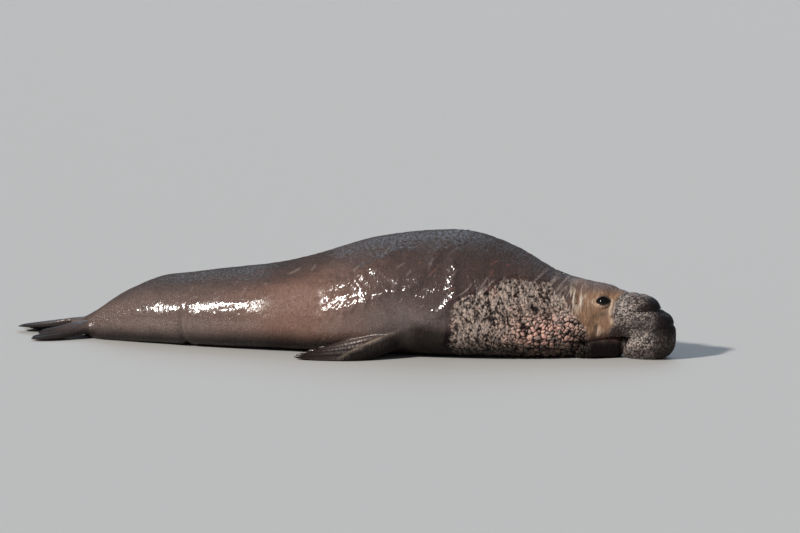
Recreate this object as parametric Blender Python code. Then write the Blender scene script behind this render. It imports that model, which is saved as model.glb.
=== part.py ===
"""A bull northern elephant seal lying on its belly, as a life-size still model.

The seal faces +X, its left side is +Y, and it rests on the floor at z = 0.
All sizes are in metres. The hide is one lofted surface from the rump to the tip of the
proboscis, parted into nodes by thin cuts. The jaw, tail and flippers are lofts of their own.
"""

import math

import bmesh
import bpy
import numpy as np
from mathutils import Matrix, Vector
from mathutils.bvhtree import BVHTree

OBJECT_NAME = "elephant_seal"

# Driving sizes
BACK_HEIGHT = 0.748  # top of the shoulder hump above the floor
CHEST_WIDTH = 0.98
TOUCH_GAP = 0.0003  # between nodes that meet face to face
CUT_CLEARANCE = 0.0005  # how far a cutter is grown where a piece lies against another

# Mesh density
AROUND = 36  # points in each ring of the hide
TRUNK_RINGS = 24
NECK_RINGS = 24
HEAD_RINGS = 15
PROBOSCIS_RINGS = 22
SECTION_SAMPLES = 241

# Where the hide is parted: x of each plane
RUMP_CUT = -1.20
WAIST_CUT = 0.06
COLLAR_CUT = 0.98
NAPE_CUT = 1.47
MUZZLE_CUT_TOP = (1.832, 0.42)  # x, z of two points on the plane behind the proboscis
MUZZLE_CUT_LOW = (1.772, 0.02)

# The body bends a little: sideways shift of the head and of the hind end
HEAD_SWAY = -0.055
HEAD_SWAY_FROM = 0.70
TAIL_SWAY = 0.035
TAIL_SWAY_FROM = -0.50

HALF_CHEST = CHEST_WIDTH / 2
SINK = 0.018  # how far the round of the belly is pressed flat by the floor

# Hide stations: back x, z; belly x, z; half width; level of the widest point, 0 belly to 1 back;
# roundness of the upper and lower half (2 is an ellipse, more is squarer)
HIDE = np.array(
    (
        (-1.705, 0.085, -1.705, 0.030, 0.040, 0.50, 2.0, 2.0),
        (-1.660, 0.125, -1.660, 0.005, 0.085, 0.48, 2.0, 2.2),
        (-1.600, 0.158, -1.600, -0.010, 0.118, 0.46, 2.0, 2.4),
        (-1.543, 0.197, -1.543, -SINK, 0.148, 0.45, 2.0, 2.5),
        (-1.480, 0.242, -1.480, -SINK, 0.178, 0.44, 2.0, 2.5),
        (-1.398, 0.293, -1.398, -SINK, 0.212, 0.43, 2.0, 2.5),
        (-1.249, 0.367, -1.249, -SINK, 0.266, 0.42, 2.0, 2.5),
        (-1.154, 0.400, -1.154, -SINK, 0.292, 0.41, 2.0, 2.5),
        (-0.956, 0.431, -0.956, -SINK, 0.332, 0.40, 2.0, 2.6),
        (-0.663, 0.473, -0.663, -SINK, 0.378, 0.40, 2.0, 2.6),
        (-0.370, 0.517, -0.370, -SINK, 0.420, 0.40, 2.0, 2.6),
        (-0.108, 0.588, -0.108, -SINK, 0.455, 0.39, 2.0, 2.7),
        (0.217, 0.688, 0.217, -SINK, 0.482, 0.38, 2.0, 2.8),
        (0.450, 0.727, 0.450, -SINK, HALF_CHEST, 0.37, 2.0, 2.8),
        (0.708, BACK_HEIGHT, 0.708, -SINK, 0.484, 0.36, 2.0, 2.8),
        (0.835, 0.739, 0.835, -SINK, 0.474, 0.36, 2.0, 2.8),
        (0.969, 0.704, 0.969, -SINK, 0.452, 0.36, 2.0, 2.8),
        (1.116, 0.644, 1.116, -SINK, 0.410, 0.37, 2.0, 2.8),
        (1.230, 0.584, 1.230, -SINK, 0.368, 0.38, 2.0, 2.8),
        (1.326, 0.533, 1.326, -SINK, 0.322, 0.39, 2.0, 2.8),
        (1.441, 0.492, 1.430, -SINK, 0.264, 0.42, 2.1, 2.7),
        (1.530, 0.472, 1.510, -0.006, 0.218, 0.47, 2.2, 2.5),
        (1.600, 0.460, 1.585, 0.014, 0.186, 0.50, 2.2, 2.4),
        (1.665, 0.450, 1.650, 0.062, 0.166, 0.50, 2.2, 2.3),
        (1.720, 0.437, 1.705, 0.108, 0.156, 0.46, 2.2, 2.3),
        (1.782, 0.413, 1.752, 0.122, 0.150, 0.42, 2.2, 2.3),
        (1.852, 0.403, 1.790, 0.124, 0.143, 0.45, 2.2, 2.3),
        (1.928, 0.390, 1.808, 0.124, 0.137, 0.48, 2.2, 2.3),
        (1.992, 0.360, 1.815, 0.122, 0.132, 0.50, 2.2, 2.3),
        (2.042, 0.306, 1.819, 0.119, 0.129, 0.50, 2.2, 2.3),
        (2.086, 0.258, 1.820, 0.114, 0.128, 0.50, 2.2, 2.3),
        (2.111, 0.205, 1.817, 0.105, 0.130, 0.50, 2.2, 2.3),
        (2.120, 0.150, 1.810, 0.093, 0.132, 0.50, 2.2, 2.3),
        (2.118, 0.098, 1.799, 0.077, 0.132, 0.50, 2.2, 2.3),
        (2.105, 0.052, 1.787, 0.057, 0.126, 0.50, 2.2, 2.3),
        (2.078, 0.018, 1.780, 0.036, 0.112, 0.50, 2.2, 2.3),
        (2.030, -0.004, 1.788, 0.013, 0.088, 0.50, 2.2, 2.3),
        (1.960, -0.020, 1.860, -0.006, 0.040, 0.50, 2.2, 2.3),
    )
)
NECK_FROM_STATION = 15
HEAD_FROM_STATION = 20
PROBOSCIS_FROM_STATION = 25

# Jaw stations, in the same columns as the hide
JAW = np.array(
    (
        (1.500, 0.080, 1.500, -SINK, 0.150, 0.50, 2.0, 2.4),
        (1.550, 0.112, 1.550, -SINK, 0.184, 0.50, 2.2, 2.4),
        (1.610, 0.130, 1.610, -SINK, 0.178, 0.52, 2.3, 2.4),
        (1.670, 0.133, 1.665, -SINK, 0.146, 0.55, 2.5, 2.3),
        (1.725, 0.131, 1.715, -SINK, 0.118, 0.60, 2.8, 2.2),
        (1.772, 0.126, 1.755, -0.010, 0.094, 0.60, 2.8, 2.1),
        (1.818, 0.118, 1.800, 0.030, 0.062, 0.50, 2.4, 2.0),
    )
)
JAW_RINGS = 11
JAW_AROUND = 20

# Creases of the proboscis and throat, seen from the side: start x, z, end x, z, width, depth
CREASES = (
    (2.070, 0.303, 1.900, 0.303, 0.028, 0.014),
    (2.140, 0.215, 1.925, 0.160, 0.013, 0.007),
    (1.905, 0.430, 1.850, 0.330, 0.012, 0.004),
    (1.835, 0.440, 1.765, 0.270, 0.014, 0.006),
    (1.655, 0.200, 1.625, 0.090, 0.012, 0.009),
)
# The deep crease that parts the lobes of the proboscis, cut round its front
LOBE_CREASE_MIDDLE = (1.860, 0.302)  # x, z
LOBE_CREASE_TURN = 1.75  # radians to each side of straight ahead
LOBE_CREASE_DEPTH = 0.024
LOBE_CREASE_HALF_GAP = 0.0055
LOBE_CREASE_POINTS = 19

# Swellings of the head on both sides: x, distance from the middle, z, reach, height
SWELLINGS = (
    (1.745, 0.130, 0.170, 0.045, 0.014),  # whisker pad
    (1.690, 0.095, 0.425, 0.035, 0.008),  # brow
    (1.600, 0.180, 0.230, 0.060, 0.008),  # cheek
    (1.955, 0.085, 0.335, 0.045, 0.006),  # lobe over the crease
    (2.050, 0.080, 0.250, 0.060, 0.008),  # lobe under the crease
    (1.810, 0.110, 0.045, 0.035, 0.008),  # rim of the nostrils
    (1.684, 0.148, 0.360, 0.042, -0.010),  # eye socket
)
# Folds of thick hide round the neck and chest
NECK_FOLDS_FROM = 0.86
NECK_FOLDS_TO = 1.50
NECK_FOLD_PITCH = 0.086
NECK_FOLD_DEPTH = 0.009
NECK_FOLD_LEAN = 0.22  # how far a fold leans back for each metre up
FLANK_FOLD_X = -0.935  # one upright fold of the hind flank
FLANK_FOLD_DEPTH = 0.012
FLANK_FOLD_WIDTH = 0.022

# Eyes
EYE_RADIUS = 0.045
EYE_AT = (1.6824, 0.1168, 0.3483)  # of the left eye's middle
EYE_LOOK = (0.20, 0.90, 0.39)
LID_LENGTH = 0.082
LID_OPENING = 0.052
LID_THICKNESS = 0.0055  # of the lids where they cover the eyeball
LID_EDGE_RADIUS = 0.0052  # of the roll along the edge of the lids
LID_POINTS = 18
LID_SIDES = 6
EYE_SEGMENTS = 16

# Ear holes and nostrils
EAR_AT = (1.530, 0.196, 0.345)
EAR_HALF_SIZE = (0.008, 0.012, 0.006)
NOSTRIL_AT = (1.786, 0.060, 0.034)
NOSTRIL_HALF_SIZE = (0.032, 0.008, 0.024)

# Tail stub
TAIL = np.array(
    (
        (-1.560, 0.140, -1.560, 0.080, 0.060, 0.50, 2.0, 2.0),
        (-1.640, 0.128, -1.640, 0.078, 0.052, 0.50, 2.0, 2.0),
        (-1.710, 0.112, -1.712, 0.076, 0.038, 0.50, 2.0, 2.0),
        (-1.760, 0.096, -1.760, 0.078, 0.014, 0.50, 2.0, 2.0),
    )
)
TAIL_RINGS = 7
TAIL_AROUND = 12

# Fore flippers, of the left side: middle x, y, z, half width, half thickness, and the
# direction across from the thumb's edge to the rear edge
FORE_FLIPPER = np.array(
    (
        (0.520, 0.330, 0.150, 0.090, 0.060, 0.20, -0.30, 0.93),
        (0.420, 0.425, 0.125, 0.100, 0.050, 0.12, -0.55, 0.82),
        (0.290, 0.492, 0.082, 0.105, 0.036, 0.02, -0.72, 0.66),
        (0.150, 0.520, 0.052, 0.112, 0.027, -0.02, -0.88, 0.42),
        (0.010, 0.530, 0.034, 0.112, 0.020, -0.04, -0.96, 0.22),
        (-0.170, 0.535, 0.016, 0.100, 0.012, -0.06, -0.99, 0.08),
    )
)
FORE_LEAST_LENGTH = 0.80  # of the little finger's side, as a share of the thumb's
CLAW_LENGTH = 0.052
CLAW_RADIUS = 0.0085
CLAW_TIP_SHARE = 0.35
CLAW_SIDES = 8
CLAW_OVERHANG = 0.010  # past the tip of the digit
CLAW_LIFT = 0.7  # its middle above the digit's tip, in claw radii
CLAW_LEAST_HEIGHT = 1.15  # its middle above the floor, in claw radii
CLAW_ALONG_RING = -4  # the ring whose digit gives the claw's direction

# Hind flippers, in the same columns: the right one ends sooner
HIND_FLIPPER = np.array(
    (
        (-1.560, 0.070, 0.085, 0.050, 0.040, 0.00, 0.80, -0.60),
        (-1.650, 0.090, 0.075, 0.056, 0.036, 0.00, 0.85, -0.50),
        (-1.760, 0.120, 0.060, 0.085, 0.028, 0.00, 0.90, -0.40),
        (-1.900, 0.155, 0.043, 0.125, 0.020, -0.02, 0.96, -0.22),
        (-2.160, 0.190, 0.022, 0.155, 0.012, -0.02, 0.99, -0.08),
    )
)
HIND_ROOT_X = -1.56
HIND_RIGHT_SHARE = 0.66  # length of the right hind flipper behind its ankle, as drawn back
HIND_NOTCH = 0.12  # how much shorter the middle digit is than the outer ones
HIND_NOTCH_HALF_WIDTH = 0.38  # as a share of the flipper's half width
DIGITS = 5
FORE_WEB_DIP = 0.035  # how far the web between two digits falls short of their tips
FORE_EDGE_ROUNDING = 0.08
HIND_WEB_DIP = 0.050
HIND_EDGE_ROUNDING = 0.20
DIGIT_RELIEF = 0.28  # how much thicker a digit is than the web beside it
FLIPPER_RINGS = 11
FLIPPER_ACROSS = 20

COLOURS = {
    "hide": (0.150, 0.105, 0.090, 1.0),
    "face": (0.190, 0.135, 0.100, 1.0),
    "proboscis": (0.160, 0.130, 0.118, 1.0),
    "flipper": (0.110, 0.085, 0.076, 1.0),
    "eye": (0.012, 0.009, 0.008, 1.0),
}
ROUGHNESS = {"hide": 0.42, "face": 0.5, "proboscis": 0.6, "flipper": 0.45, "eye": 0.06}


def clear_scene():
    for item in list(bpy.data.objects):
        bpy.data.objects.remove(item, do_unlink=True)


def new_collection(name):
    made = bpy.data.collections.new(name)
    bpy.context.scene.collection.children.link(made)
    return made


def material(name):
    made = bpy.data.materials.new(name)
    made.use_nodes = True
    shader = made.node_tree.nodes["Principled BSDF"]
    shader.inputs["Base Color"].default_value = COLOURS[name]
    shader.inputs["Roughness"].default_value = ROUGHNESS[name]
    shader.inputs["Metallic"].default_value = 0.0
    return made


def smooth_curve(at, known, values):
    """Values between stations, on a cubic that doesn't overshoot where they rise or fall."""
    widths = np.diff(known)
    rates = np.diff(values) / widths
    slopes = np.zeros(len(known))
    slopes[0], slopes[-1] = rates[0], rates[-1]
    inner = (rates[:-1] * widths[1:] + rates[1:] * widths[:-1]) / (widths[:-1] + widths[1:])
    slopes[1:-1] = np.where(rates[:-1] * rates[1:] > 0, inner, 0.0)
    index = np.clip(np.searchsorted(known, at) - 1, 0, len(widths) - 1)
    share = (at - known[index]) / widths[index]
    before, after = values[index], values[index + 1]
    ease = share * share * (3 - 2 * share)
    start = slopes[index] * widths[index] * share * (1 - share) ** 2
    end = -slopes[index + 1] * widths[index] * share * share * (1 - share)
    return before + (after - before) * ease + start + end


def travelled(points):
    steps = np.linalg.norm(np.diff(points, axis=0), axis=1)
    return np.concatenate(([0.0], np.cumsum(steps)))


def station_places(stations):
    """How far along the back and belly lines, on average, each station lies."""
    return (travelled(stations[:, 0:2]) + travelled(stations[:, 2:4])) / 2


def half_section(station, points):
    """One ring's left half, from the back line down to the belly line, evenly spaced."""
    back_x, back_z, belly_x, belly_z, half_width, widest, upper, lower = station
    turn = np.linspace(0.0, math.pi, SECTION_SAMPLES)
    cosine, sine = np.cos(turn), np.sin(turn)
    power = 2 / np.where(cosine >= 0, upper, lower)
    rise = np.sign(cosine) * np.abs(cosine) ** power
    level = widest + np.where(cosine >= 0, 1 - widest, widest) * rise
    side = half_width * np.abs(sine) ** power
    line = np.column_stack(
        (
            belly_x + (back_x - belly_x) * level,
            side,
            belly_z + (back_z - belly_z) * level,
        )
    )
    run = travelled(line)
    even = np.linspace(0.0, run[-1], points + 1)
    return np.column_stack([np.interp(even, run, line[:, axis]) for axis in range(3)])


def rings_from(stations, places, around):
    known = station_places(stations)
    columns = [smooth_curve(places, known, column) for column in stations.T]
    rings = []
    for station in zip(*columns):
        left = half_section(station, around // 2)
        right = left[-2:0:-1] * (1, -1, 1)
        rings.append(np.vstack((left, right)))
    return np.array(rings)


def normals_of(rings):
    along = np.gradient(rings, axis=0)
    around = (np.roll(rings, -1, axis=1) - np.roll(rings, 1, axis=1)) / 2
    found = np.cross(along, around)
    return found / np.maximum(np.linalg.norm(found, axis=2, keepdims=True), 1e-9)


def ramp(value, start, end):
    share = np.clip((value - start) / (end - start), 0.0, 1.0)
    return share * share * (3 - 2 * share)


def crease_relief(rings, crease):
    """A groove along a line drawn on the side of the head, fading towards its rear end."""
    start_x, start_z, end_x, end_z, width, depth = crease
    run_x, run_z = end_x - start_x, end_z - start_z
    length = math.hypot(run_x, run_z)
    off_x, off_z = rings[..., 0] - start_x, rings[..., 2] - start_z
    along = (off_x * run_x + off_z * run_z) / length**2
    across = (off_z * run_x - off_x * run_z) / length
    fade = ramp(along, -0.25, 0.0) * (1 - ramp(along, 0.55, 1.1))
    return -depth * np.exp(-((across / width) ** 2)) * fade


def swelling_relief(rings, swelling):
    x, side, z, reach, height = swelling
    off = np.stack((rings[..., 0] - x, np.abs(rings[..., 1]) - side, rings[..., 2] - z))
    return height * np.exp(-(off**2).sum(axis=0) / reach**2)


def neck_fold_relief(rings):
    """Rounded transverse folds with narrow creases between them, strongest on the sides."""
    x, z = rings[..., 0], rings[..., 2]
    phase = (x + NECK_FOLD_LEAN * z - NECK_FOLDS_FROM) / NECK_FOLD_PITCH
    groove = np.abs(np.sin(math.pi * phase)) ** 0.7
    strength = ramp(x, NECK_FOLDS_FROM, NECK_FOLDS_FROM + 0.12)
    strength = strength * (1 - ramp(x, NECK_FOLDS_TO - 0.12, NECK_FOLDS_TO))
    height_share = 1 - 0.75 * ramp(z, 0.30, 0.62)
    return NECK_FOLD_DEPTH * (groove - 1) * strength * height_share


def flank_fold_relief(rings):
    across = (rings[..., 0] - FLANK_FOLD_X) / FLANK_FOLD_WIDTH
    low = 1 - ramp(rings[..., 2], 0.18, 0.36)
    return -FLANK_FOLD_DEPTH * np.exp(-(across**2)) * low


def spread(start, end, count, with_end=False):
    return np.linspace(start, end, count, endpoint=with_end)


def hide_rings():
    known = station_places(HIDE)
    neck = known[NECK_FROM_STATION]
    head = known[HEAD_FROM_STATION]
    proboscis = known[PROBOSCIS_FROM_STATION]
    places = np.concatenate(
        (
            spread(0.0, neck, TRUNK_RINGS),
            spread(neck, head, NECK_RINGS),
            spread(head, proboscis, HEAD_RINGS),
            spread(proboscis, known[-1], PROBOSCIS_RINGS, with_end=True),
        )
    )
    rings = rings_from(HIDE, places, AROUND)
    relief = neck_fold_relief(rings) + flank_fold_relief(rings)
    for crease in CREASES:
        relief = relief + crease_relief(rings, crease)
    for swelling in SWELLINGS:
        relief = relief + swelling_relief(rings, swelling)
    return rings + normals_of(rings) * relief[..., None]


def posed(points):
    """The symmetric shape with its head and hind end swung a little to one side."""
    x = points[..., 0]
    shift = HEAD_SWAY * ramp(x, HEAD_SWAY_FROM, 2.4) * 1.2
    shift = shift + TAIL_SWAY * ramp(-x, -TAIL_SWAY_FROM, 2.1)
    moved = np.array(points, dtype=float)
    moved[..., 1] = moved[..., 1] + shift
    return moved


def on_floor(points):
    moved = np.array(points, dtype=float)
    moved[..., 2] = np.maximum(moved[..., 2], 0.0)
    return moved


def ring_faces(ring_count, around):
    """Triangles between rings, split alike on both halves, and a fan at each end."""
    faces = []
    for i in range(ring_count - 1):
        for j in range(around):
            a = i * around + j
            b = i * around + (j + 1) % around
            c = b + around
            d = a + around
            if j < around // 2:
                faces += [(a, b, c), (a, c, d)]
            else:
                faces += [(a, b, d), (b, c, d)]
    first_pole = ring_count * around
    last_pole = first_pole + 1
    last_ring = (ring_count - 1) * around
    for j in range(around):
        after = (j + 1) % around
        faces.append((first_pole, after, j))
        faces.append((last_pole, last_ring + j, last_ring + after))
    return faces


def object_from(name, points, faces, collection):
    mesh = bpy.data.meshes.new(name)
    mesh.from_pydata([tuple(point) for point in points], [], faces)
    work = bmesh.new()
    work.from_mesh(mesh)
    bmesh.ops.recalc_face_normals(work, faces=work.faces)
    work.to_mesh(mesh)
    work.free()
    made = bpy.data.objects.new(name, mesh)
    collection.objects.link(made)
    return made


def loft(name, rings, collection):
    count, around = rings.shape[:2]
    poles = np.array((rings[0].mean(axis=0), rings[-1].mean(axis=0)))
    points = on_floor(posed(np.vstack((rings.reshape(-1, 3), poles))))
    return object_from(name, points, ring_faces(count, around), collection)


def simple_loft(name, stations, ring_count, around, collection):
    places = np.linspace(0.0, station_places(stations)[-1], ring_count)
    return loft(name, rings_from(stations, places, around), collection)


def flipper_rings(stations, length_share):
    """A flat tapering limb with a raised ray along each digit.

    length_share gives, for each place across, how much of the full length is there.
    """
    known = travelled(stations[:, :3])
    turn = np.linspace(0.0, 2 * math.pi, 2 * FLIPPER_ACROSS, endpoint=False)
    across = np.cos(turn)
    side = np.sign(np.sin(turn)) * np.abs(np.sin(turn)) ** 0.75
    digit_wave = np.cos(math.pi * DIGITS * across)
    rings = []
    for share in np.linspace(0.0, 1.0, FLIPPER_RINGS) ** 0.9:
        reach = share * known[-1] * (1 + (length_share(across) - 1) * share**0.8)
        columns = [smooth_curve(reach, known, column) for column in stations.T]
        x, y, z, half_width, half_thick, out_x, out_y, out_z = columns
        axis = np.column_stack((out_x, out_y, out_z))
        axis = axis / np.linalg.norm(axis, axis=1, keepdims=True)
        run = stations[-1, :3] - stations[0, :3]
        run = run / np.linalg.norm(run)
        flat = np.cross(axis, run)
        flat = flat / np.linalg.norm(flat, axis=1, keepdims=True)
        tip_taper = math.sqrt(max(1 - share**6, 0.02))
        ray = 1 + DIGIT_RELIEF * digit_wave * ramp(share, 0.25, 0.7) * np.abs(side)
        thick = half_thick * tip_taper * ray
        middle = np.column_stack((x, y, z))
        ring = middle + axis * (half_width * across)[:, None] + flat * (thick * side)[:, None]
        rings.append(ring)
    return np.array(rings)


def webbed(across, web_dip, edge_rounding):
    """How far the webs and the rounded outer edges fall short of the digits' tips."""
    webs = web_dip * (1 - np.cos(math.pi * DIGITS * across)) / 2
    return webs + edge_rounding * (1 - (1 - np.abs(across) ** 2.5) ** 0.4)


def fore_length(across):
    slant = 1 - (1 - FORE_LEAST_LENGTH) * ((1 + across) / 2) ** 1.6
    return slant - webbed(across, FORE_WEB_DIP, FORE_EDGE_ROUNDING)


def hind_length(across):
    lobes = 1 - HIND_NOTCH * np.exp(-((across / HIND_NOTCH_HALF_WIDTH) ** 2))
    return lobes - webbed(across, HIND_WEB_DIP, HIND_EDGE_ROUNDING)


def hind_stations(share):
    """Hind flipper stations, with the length behind the root taken as this share."""
    stations = HIND_FLIPPER.copy()
    stations[:, 0] = HIND_ROOT_X + (stations[:, 0] - HIND_ROOT_X) * share
    stations[:, 3] = stations[:, 3] * (0.6 + 0.4 * share)
    stations[:, 1] = stations[:, 1] * (0.85 + 0.15 * share)
    return stations


def evaluated_copy(item):
    graph = bpy.context.evaluated_depsgraph_get()
    return bpy.data.meshes.new_from_object(item.evaluated_get(graph))


def apply_boolean(item, operation, others):
    """One Boolean with a collection of closed meshes, applied, and its operands removed."""
    operands = new_collection("operands")
    for other in others:
        for holder in list(other.users_collection):
            holder.objects.unlink(other)
        operands.objects.link(other)
    step = item.modifiers.new(operation, "BOOLEAN")
    step.operation = operation
    step.operand_type = "COLLECTION"
    step.collection = operands
    step.solver = "MANIFOLD"
    bpy.context.view_layer.update()
    mesh = evaluated_copy(item)
    item.modifiers.clear()
    item.data = mesh
    for other in others:
        bpy.data.objects.remove(other, do_unlink=True)
    bpy.data.collections.remove(operands)
    keep_largest(item)


def islands_of(work):
    left = set(work.verts)
    while left:
        seed = left.pop()
        found, queue = {seed}, [seed]
        while queue:
            for edge in queue.pop().link_edges:
                for vert in edge.verts:
                    if vert in left:
                        left.remove(vert)
                        found.add(vert)
                        queue.append(vert)
        yield found


def island_volume(verts):
    faces = {face for vert in verts for face in vert.link_faces}
    volume = 0.0
    for face in faces:
        corners = [vert.co for vert in face.verts]
        for second, third in zip(corners[1:-1], corners[2:]):
            volume += corners[0].dot(second.cross(third)) / 6
    return abs(volume)


def keep_largest(item):
    work = bmesh.new()
    work.from_mesh(item.data)
    islands = sorted(islands_of(work), key=island_volume)
    for verts in islands[:-1]:
        bmesh.ops.delete(work, geom=list(verts), context="VERTS")
    work.to_mesh(item.data)
    work.free()


def grown(item, by, collection):
    """A copy with its surface moved outwards, for cutting what lies against it."""
    made = bpy.data.objects.new(item.name + "_grown", item.data.copy())
    collection.objects.link(made)
    for vert in made.data.vertices:
        vert.co = vert.co + vert.normal * by
    return made


def slab(item, name, planes, collection):
    """A copy of the item, kept on the side of each plane that its normal points away from."""
    made = bpy.data.objects.new(name, item.data.copy())
    collection.objects.link(made)
    work = bmesh.new()
    work.from_mesh(made.data)
    for point, normal in planes:
        geometry = work.verts[:] + work.edges[:] + work.faces[:]
        cut = bmesh.ops.bisect_plane(
            work, geom=geometry, plane_co=point, plane_no=normal, clear_outer=True
        )
        rim = [edge for edge in cut["geom_cut"] if isinstance(edge, bmesh.types.BMEdge)]
        bmesh.ops.holes_fill(work, edges=rim)
    bmesh.ops.triangulate(work, faces=work.faces)
    bmesh.ops.recalc_face_normals(work, faces=work.faces)
    work.to_mesh(made.data)
    work.free()
    keep_largest(made)
    return made


def before_x(x):
    return (Vector((x - TOUCH_GAP / 2, 0, 0)), Vector((1, 0, 0)))


def after_x(x):
    return (Vector((x + TOUCH_GAP / 2, 0, 0)), Vector((-1, 0, 0)))


def muzzle_planes():
    """The slanting cut behind the proboscis: its side facing the head, and the other."""
    top = Vector((MUZZLE_CUT_TOP[0], 0, MUZZLE_CUT_TOP[1]))
    low = Vector((MUZZLE_CUT_LOW[0], 0, MUZZLE_CUT_LOW[1]))
    run = (top - low).normalized()
    forward = Vector((run.z, 0, -run.x))
    half = forward * (TOUCH_GAP / 2)
    return (low - half, forward), (low + half, -forward)


def eye_frame(side):
    middle = Vector(posed(np.array(EYE_AT) * (1, side, 1)))
    look = Vector((EYE_LOOK[0], EYE_LOOK[1] * side, EYE_LOOK[2])).normalized()
    forward = Vector((1, 0, 0.10))
    forward = (forward - look * forward.dot(look)).normalized()
    upward = look.cross(forward) * side
    if upward.z < 0:
        upward = -upward
    return middle, look, forward, upward


def ball(name, middle, radius, collection):
    mesh = bpy.data.meshes.new(name)
    work = bmesh.new()
    bmesh.ops.create_uvsphere(
        work, u_segments=EYE_SEGMENTS, v_segments=EYE_SEGMENTS // 2, radius=radius
    )
    bmesh.ops.triangulate(work, faces=work.faces)
    work.to_mesh(mesh)
    work.free()
    made = bpy.data.objects.new(name, mesh)
    mesh.transform(Matrix.Translation(middle))
    collection.objects.link(made)
    return made


def almond(grow=0.0):
    """Points of the opening between the lids, as (forward, upward) from the eye's middle."""
    outline = []
    for step in range(LID_POINTS):
        turn = 2 * math.pi * step / LID_POINTS
        reach = math.cos(turn) * (LID_LENGTH / 2 + grow)
        lift = math.sin(turn) * (LID_OPENING / 2 + grow) * (1 - 0.25 * math.cos(turn) ** 2)
        outline.append((reach, lift))
    return outline


def lid_opening(side, collection):
    """The cutter that opens the almond between the lids."""
    middle, look, forward, upward = eye_frame(side)
    outline = almond()
    inner = [middle + forward * reach + upward * lift for reach, lift in outline]
    points = inner + [place + look * EYE_RADIUS * 2 for place in inner]
    count = len(outline)
    faces = []
    for a in range(count):
        b = (a + 1) % count
        faces += [(a, b, b + count), (a, b + count, a + count)]
    for a in range(1, count - 1):
        faces += [(0, a + 1, a), (count, count + a, count + a + 1)]
    return object_from("lid_opening", points, faces, collection)


def lid_ring(side, collection):
    """The roll along the edge of both lids, lying on the eyeball."""
    middle, look, forward, upward = eye_frame(side)
    spine = []
    for reach, lift in almond(LID_EDGE_RADIUS * 0.4):
        out = math.sqrt((EYE_RADIUS + LID_THICKNESS / 2) ** 2 - reach**2 - lift**2)
        spine.append(middle + forward * reach + upward * lift + look * out)
    points, faces = [], []
    for step, at in enumerate(spine):
        run = (spine[(step + 1) % LID_POINTS] - spine[step - 1]).normalized()
        outward = (at - middle).normalized()
        across = run.cross(outward).normalized()
        for side_step in range(LID_SIDES):
            turn = 2 * math.pi * side_step / LID_SIDES
            roll = outward * math.cos(turn) + across * math.sin(turn)
            points.append(at + roll * LID_EDGE_RADIUS)
            a = step * LID_SIDES + side_step
            b = step * LID_SIDES + (side_step + 1) % LID_SIDES
            c = ((step + 1) % LID_POINTS) * LID_SIDES + (side_step + 1) % LID_SIDES
            d = ((step + 1) % LID_POINTS) * LID_SIDES + side_step
            faces += [(a, b, c), (a, c, d)]
    return object_from("lids", points, faces, collection)


def surface_points_round(item, middle, turn_each_way, count):
    """Where level rays from a point of the middle plane leave the surface, going round ahead."""
    work = bmesh.new()
    work.from_mesh(item.data)
    tree = BVHTree.FromBMesh(work)
    found = []
    for turn in np.linspace(-turn_each_way, turn_each_way, count):
        ray = Vector((math.cos(turn), math.sin(turn), 0))
        place = tree.ray_cast(middle, ray)[0]
        found.append((place, ray))
    work.free()
    return found


def lobe_crease(item, collection):
    """A cutter for the deep crease: a thin lens swept round the front, tapering to its ends."""
    x, z = LOBE_CREASE_MIDDLE
    middle = Vector(posed(np.array((x, 0.0, z))))
    path = surface_points_round(item, middle, LOBE_CREASE_TURN, LOBE_CREASE_POINTS)
    last = len(path) - 1
    points = [path[0][0]]
    for step, (place, ray) in enumerate(path[1:-1], start=1):
        share = math.sin(math.pi * step / last) ** 0.6
        depth = LOBE_CREASE_DEPTH * share
        half_gap = LOBE_CREASE_HALF_GAP * share
        over = depth * 0.6
        lift = Vector((0, 0, half_gap))
        points += [place - ray * depth, place + ray * over + lift * 2, place + ray * over - lift * 2]
    points.append(path[-1][0])
    faces = []
    for step in range(last - 2):
        for corner in range(3):
            a = 1 + step * 3 + corner
            b = 1 + step * 3 + (corner + 1) % 3
            faces += [(a, b, b + 3), (a, b + 3, a + 3)]
    end = len(points) - 1
    for corner in range(3):
        faces.append((0, 1 + (corner + 1) % 3, 1 + corner))
        faces.append((end, end - 3 + corner, end - 3 + (corner + 1) % 3))
    return object_from("lobe_crease", points, faces, collection)


def pit(at, half_size, side, collection):
    """An egg-shaped cutter for an ear hole or a nostril."""
    made = ball("pit", Vector((0, 0, 0)), 1.0, collection)
    middle = posed(np.array(at) * (1, side, 1))
    made.data.transform(Matrix.Translation(middle) @ Matrix.Diagonal((*half_size, 1)))
    return made


def claws(rings, side, collection):
    """A blunt claw lying on the upper side of each digit's tip."""
    around = rings.shape[1]
    made = []
    for digit in range(DIGITS):
        across = -1 + (2 * digit + 1) / DIGITS
        turn = 2 * math.pi - math.acos(across)
        column = round(turn / (2 * math.pi) * around) % around
        points = posed(rings[:, column] * (1, side, 1))
        tip = Vector(points[-1])
        run = tip - Vector(points[CLAW_ALONG_RING])
        run.z = 0.0
        run.normalize()
        mesh = bpy.data.meshes.new("claw")
        work = bmesh.new()
        bmesh.ops.create_cone(
            work,
            cap_ends=True,
            segments=CLAW_SIDES,
            radius1=CLAW_RADIUS,
            radius2=CLAW_RADIUS * CLAW_TIP_SHARE,
            depth=CLAW_LENGTH,
        )
        bmesh.ops.triangulate(work, faces=work.faces)
        work.to_mesh(mesh)
        work.free()
        turned = run.to_track_quat("Z", "Y").to_matrix().to_4x4()
        middle = tip + run * (CLAW_OVERHANG - CLAW_LENGTH / 2)
        middle.z = max(tip.z + CLAW_RADIUS * CLAW_LIFT, CLAW_RADIUS * CLAW_LEAST_HEIGHT)
        mesh.transform(Matrix.Translation(middle) @ turned)
        claw = bpy.data.objects.new("claw", mesh)
        collection.objects.link(claw)
        made.append(claw)
    return made


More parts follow.
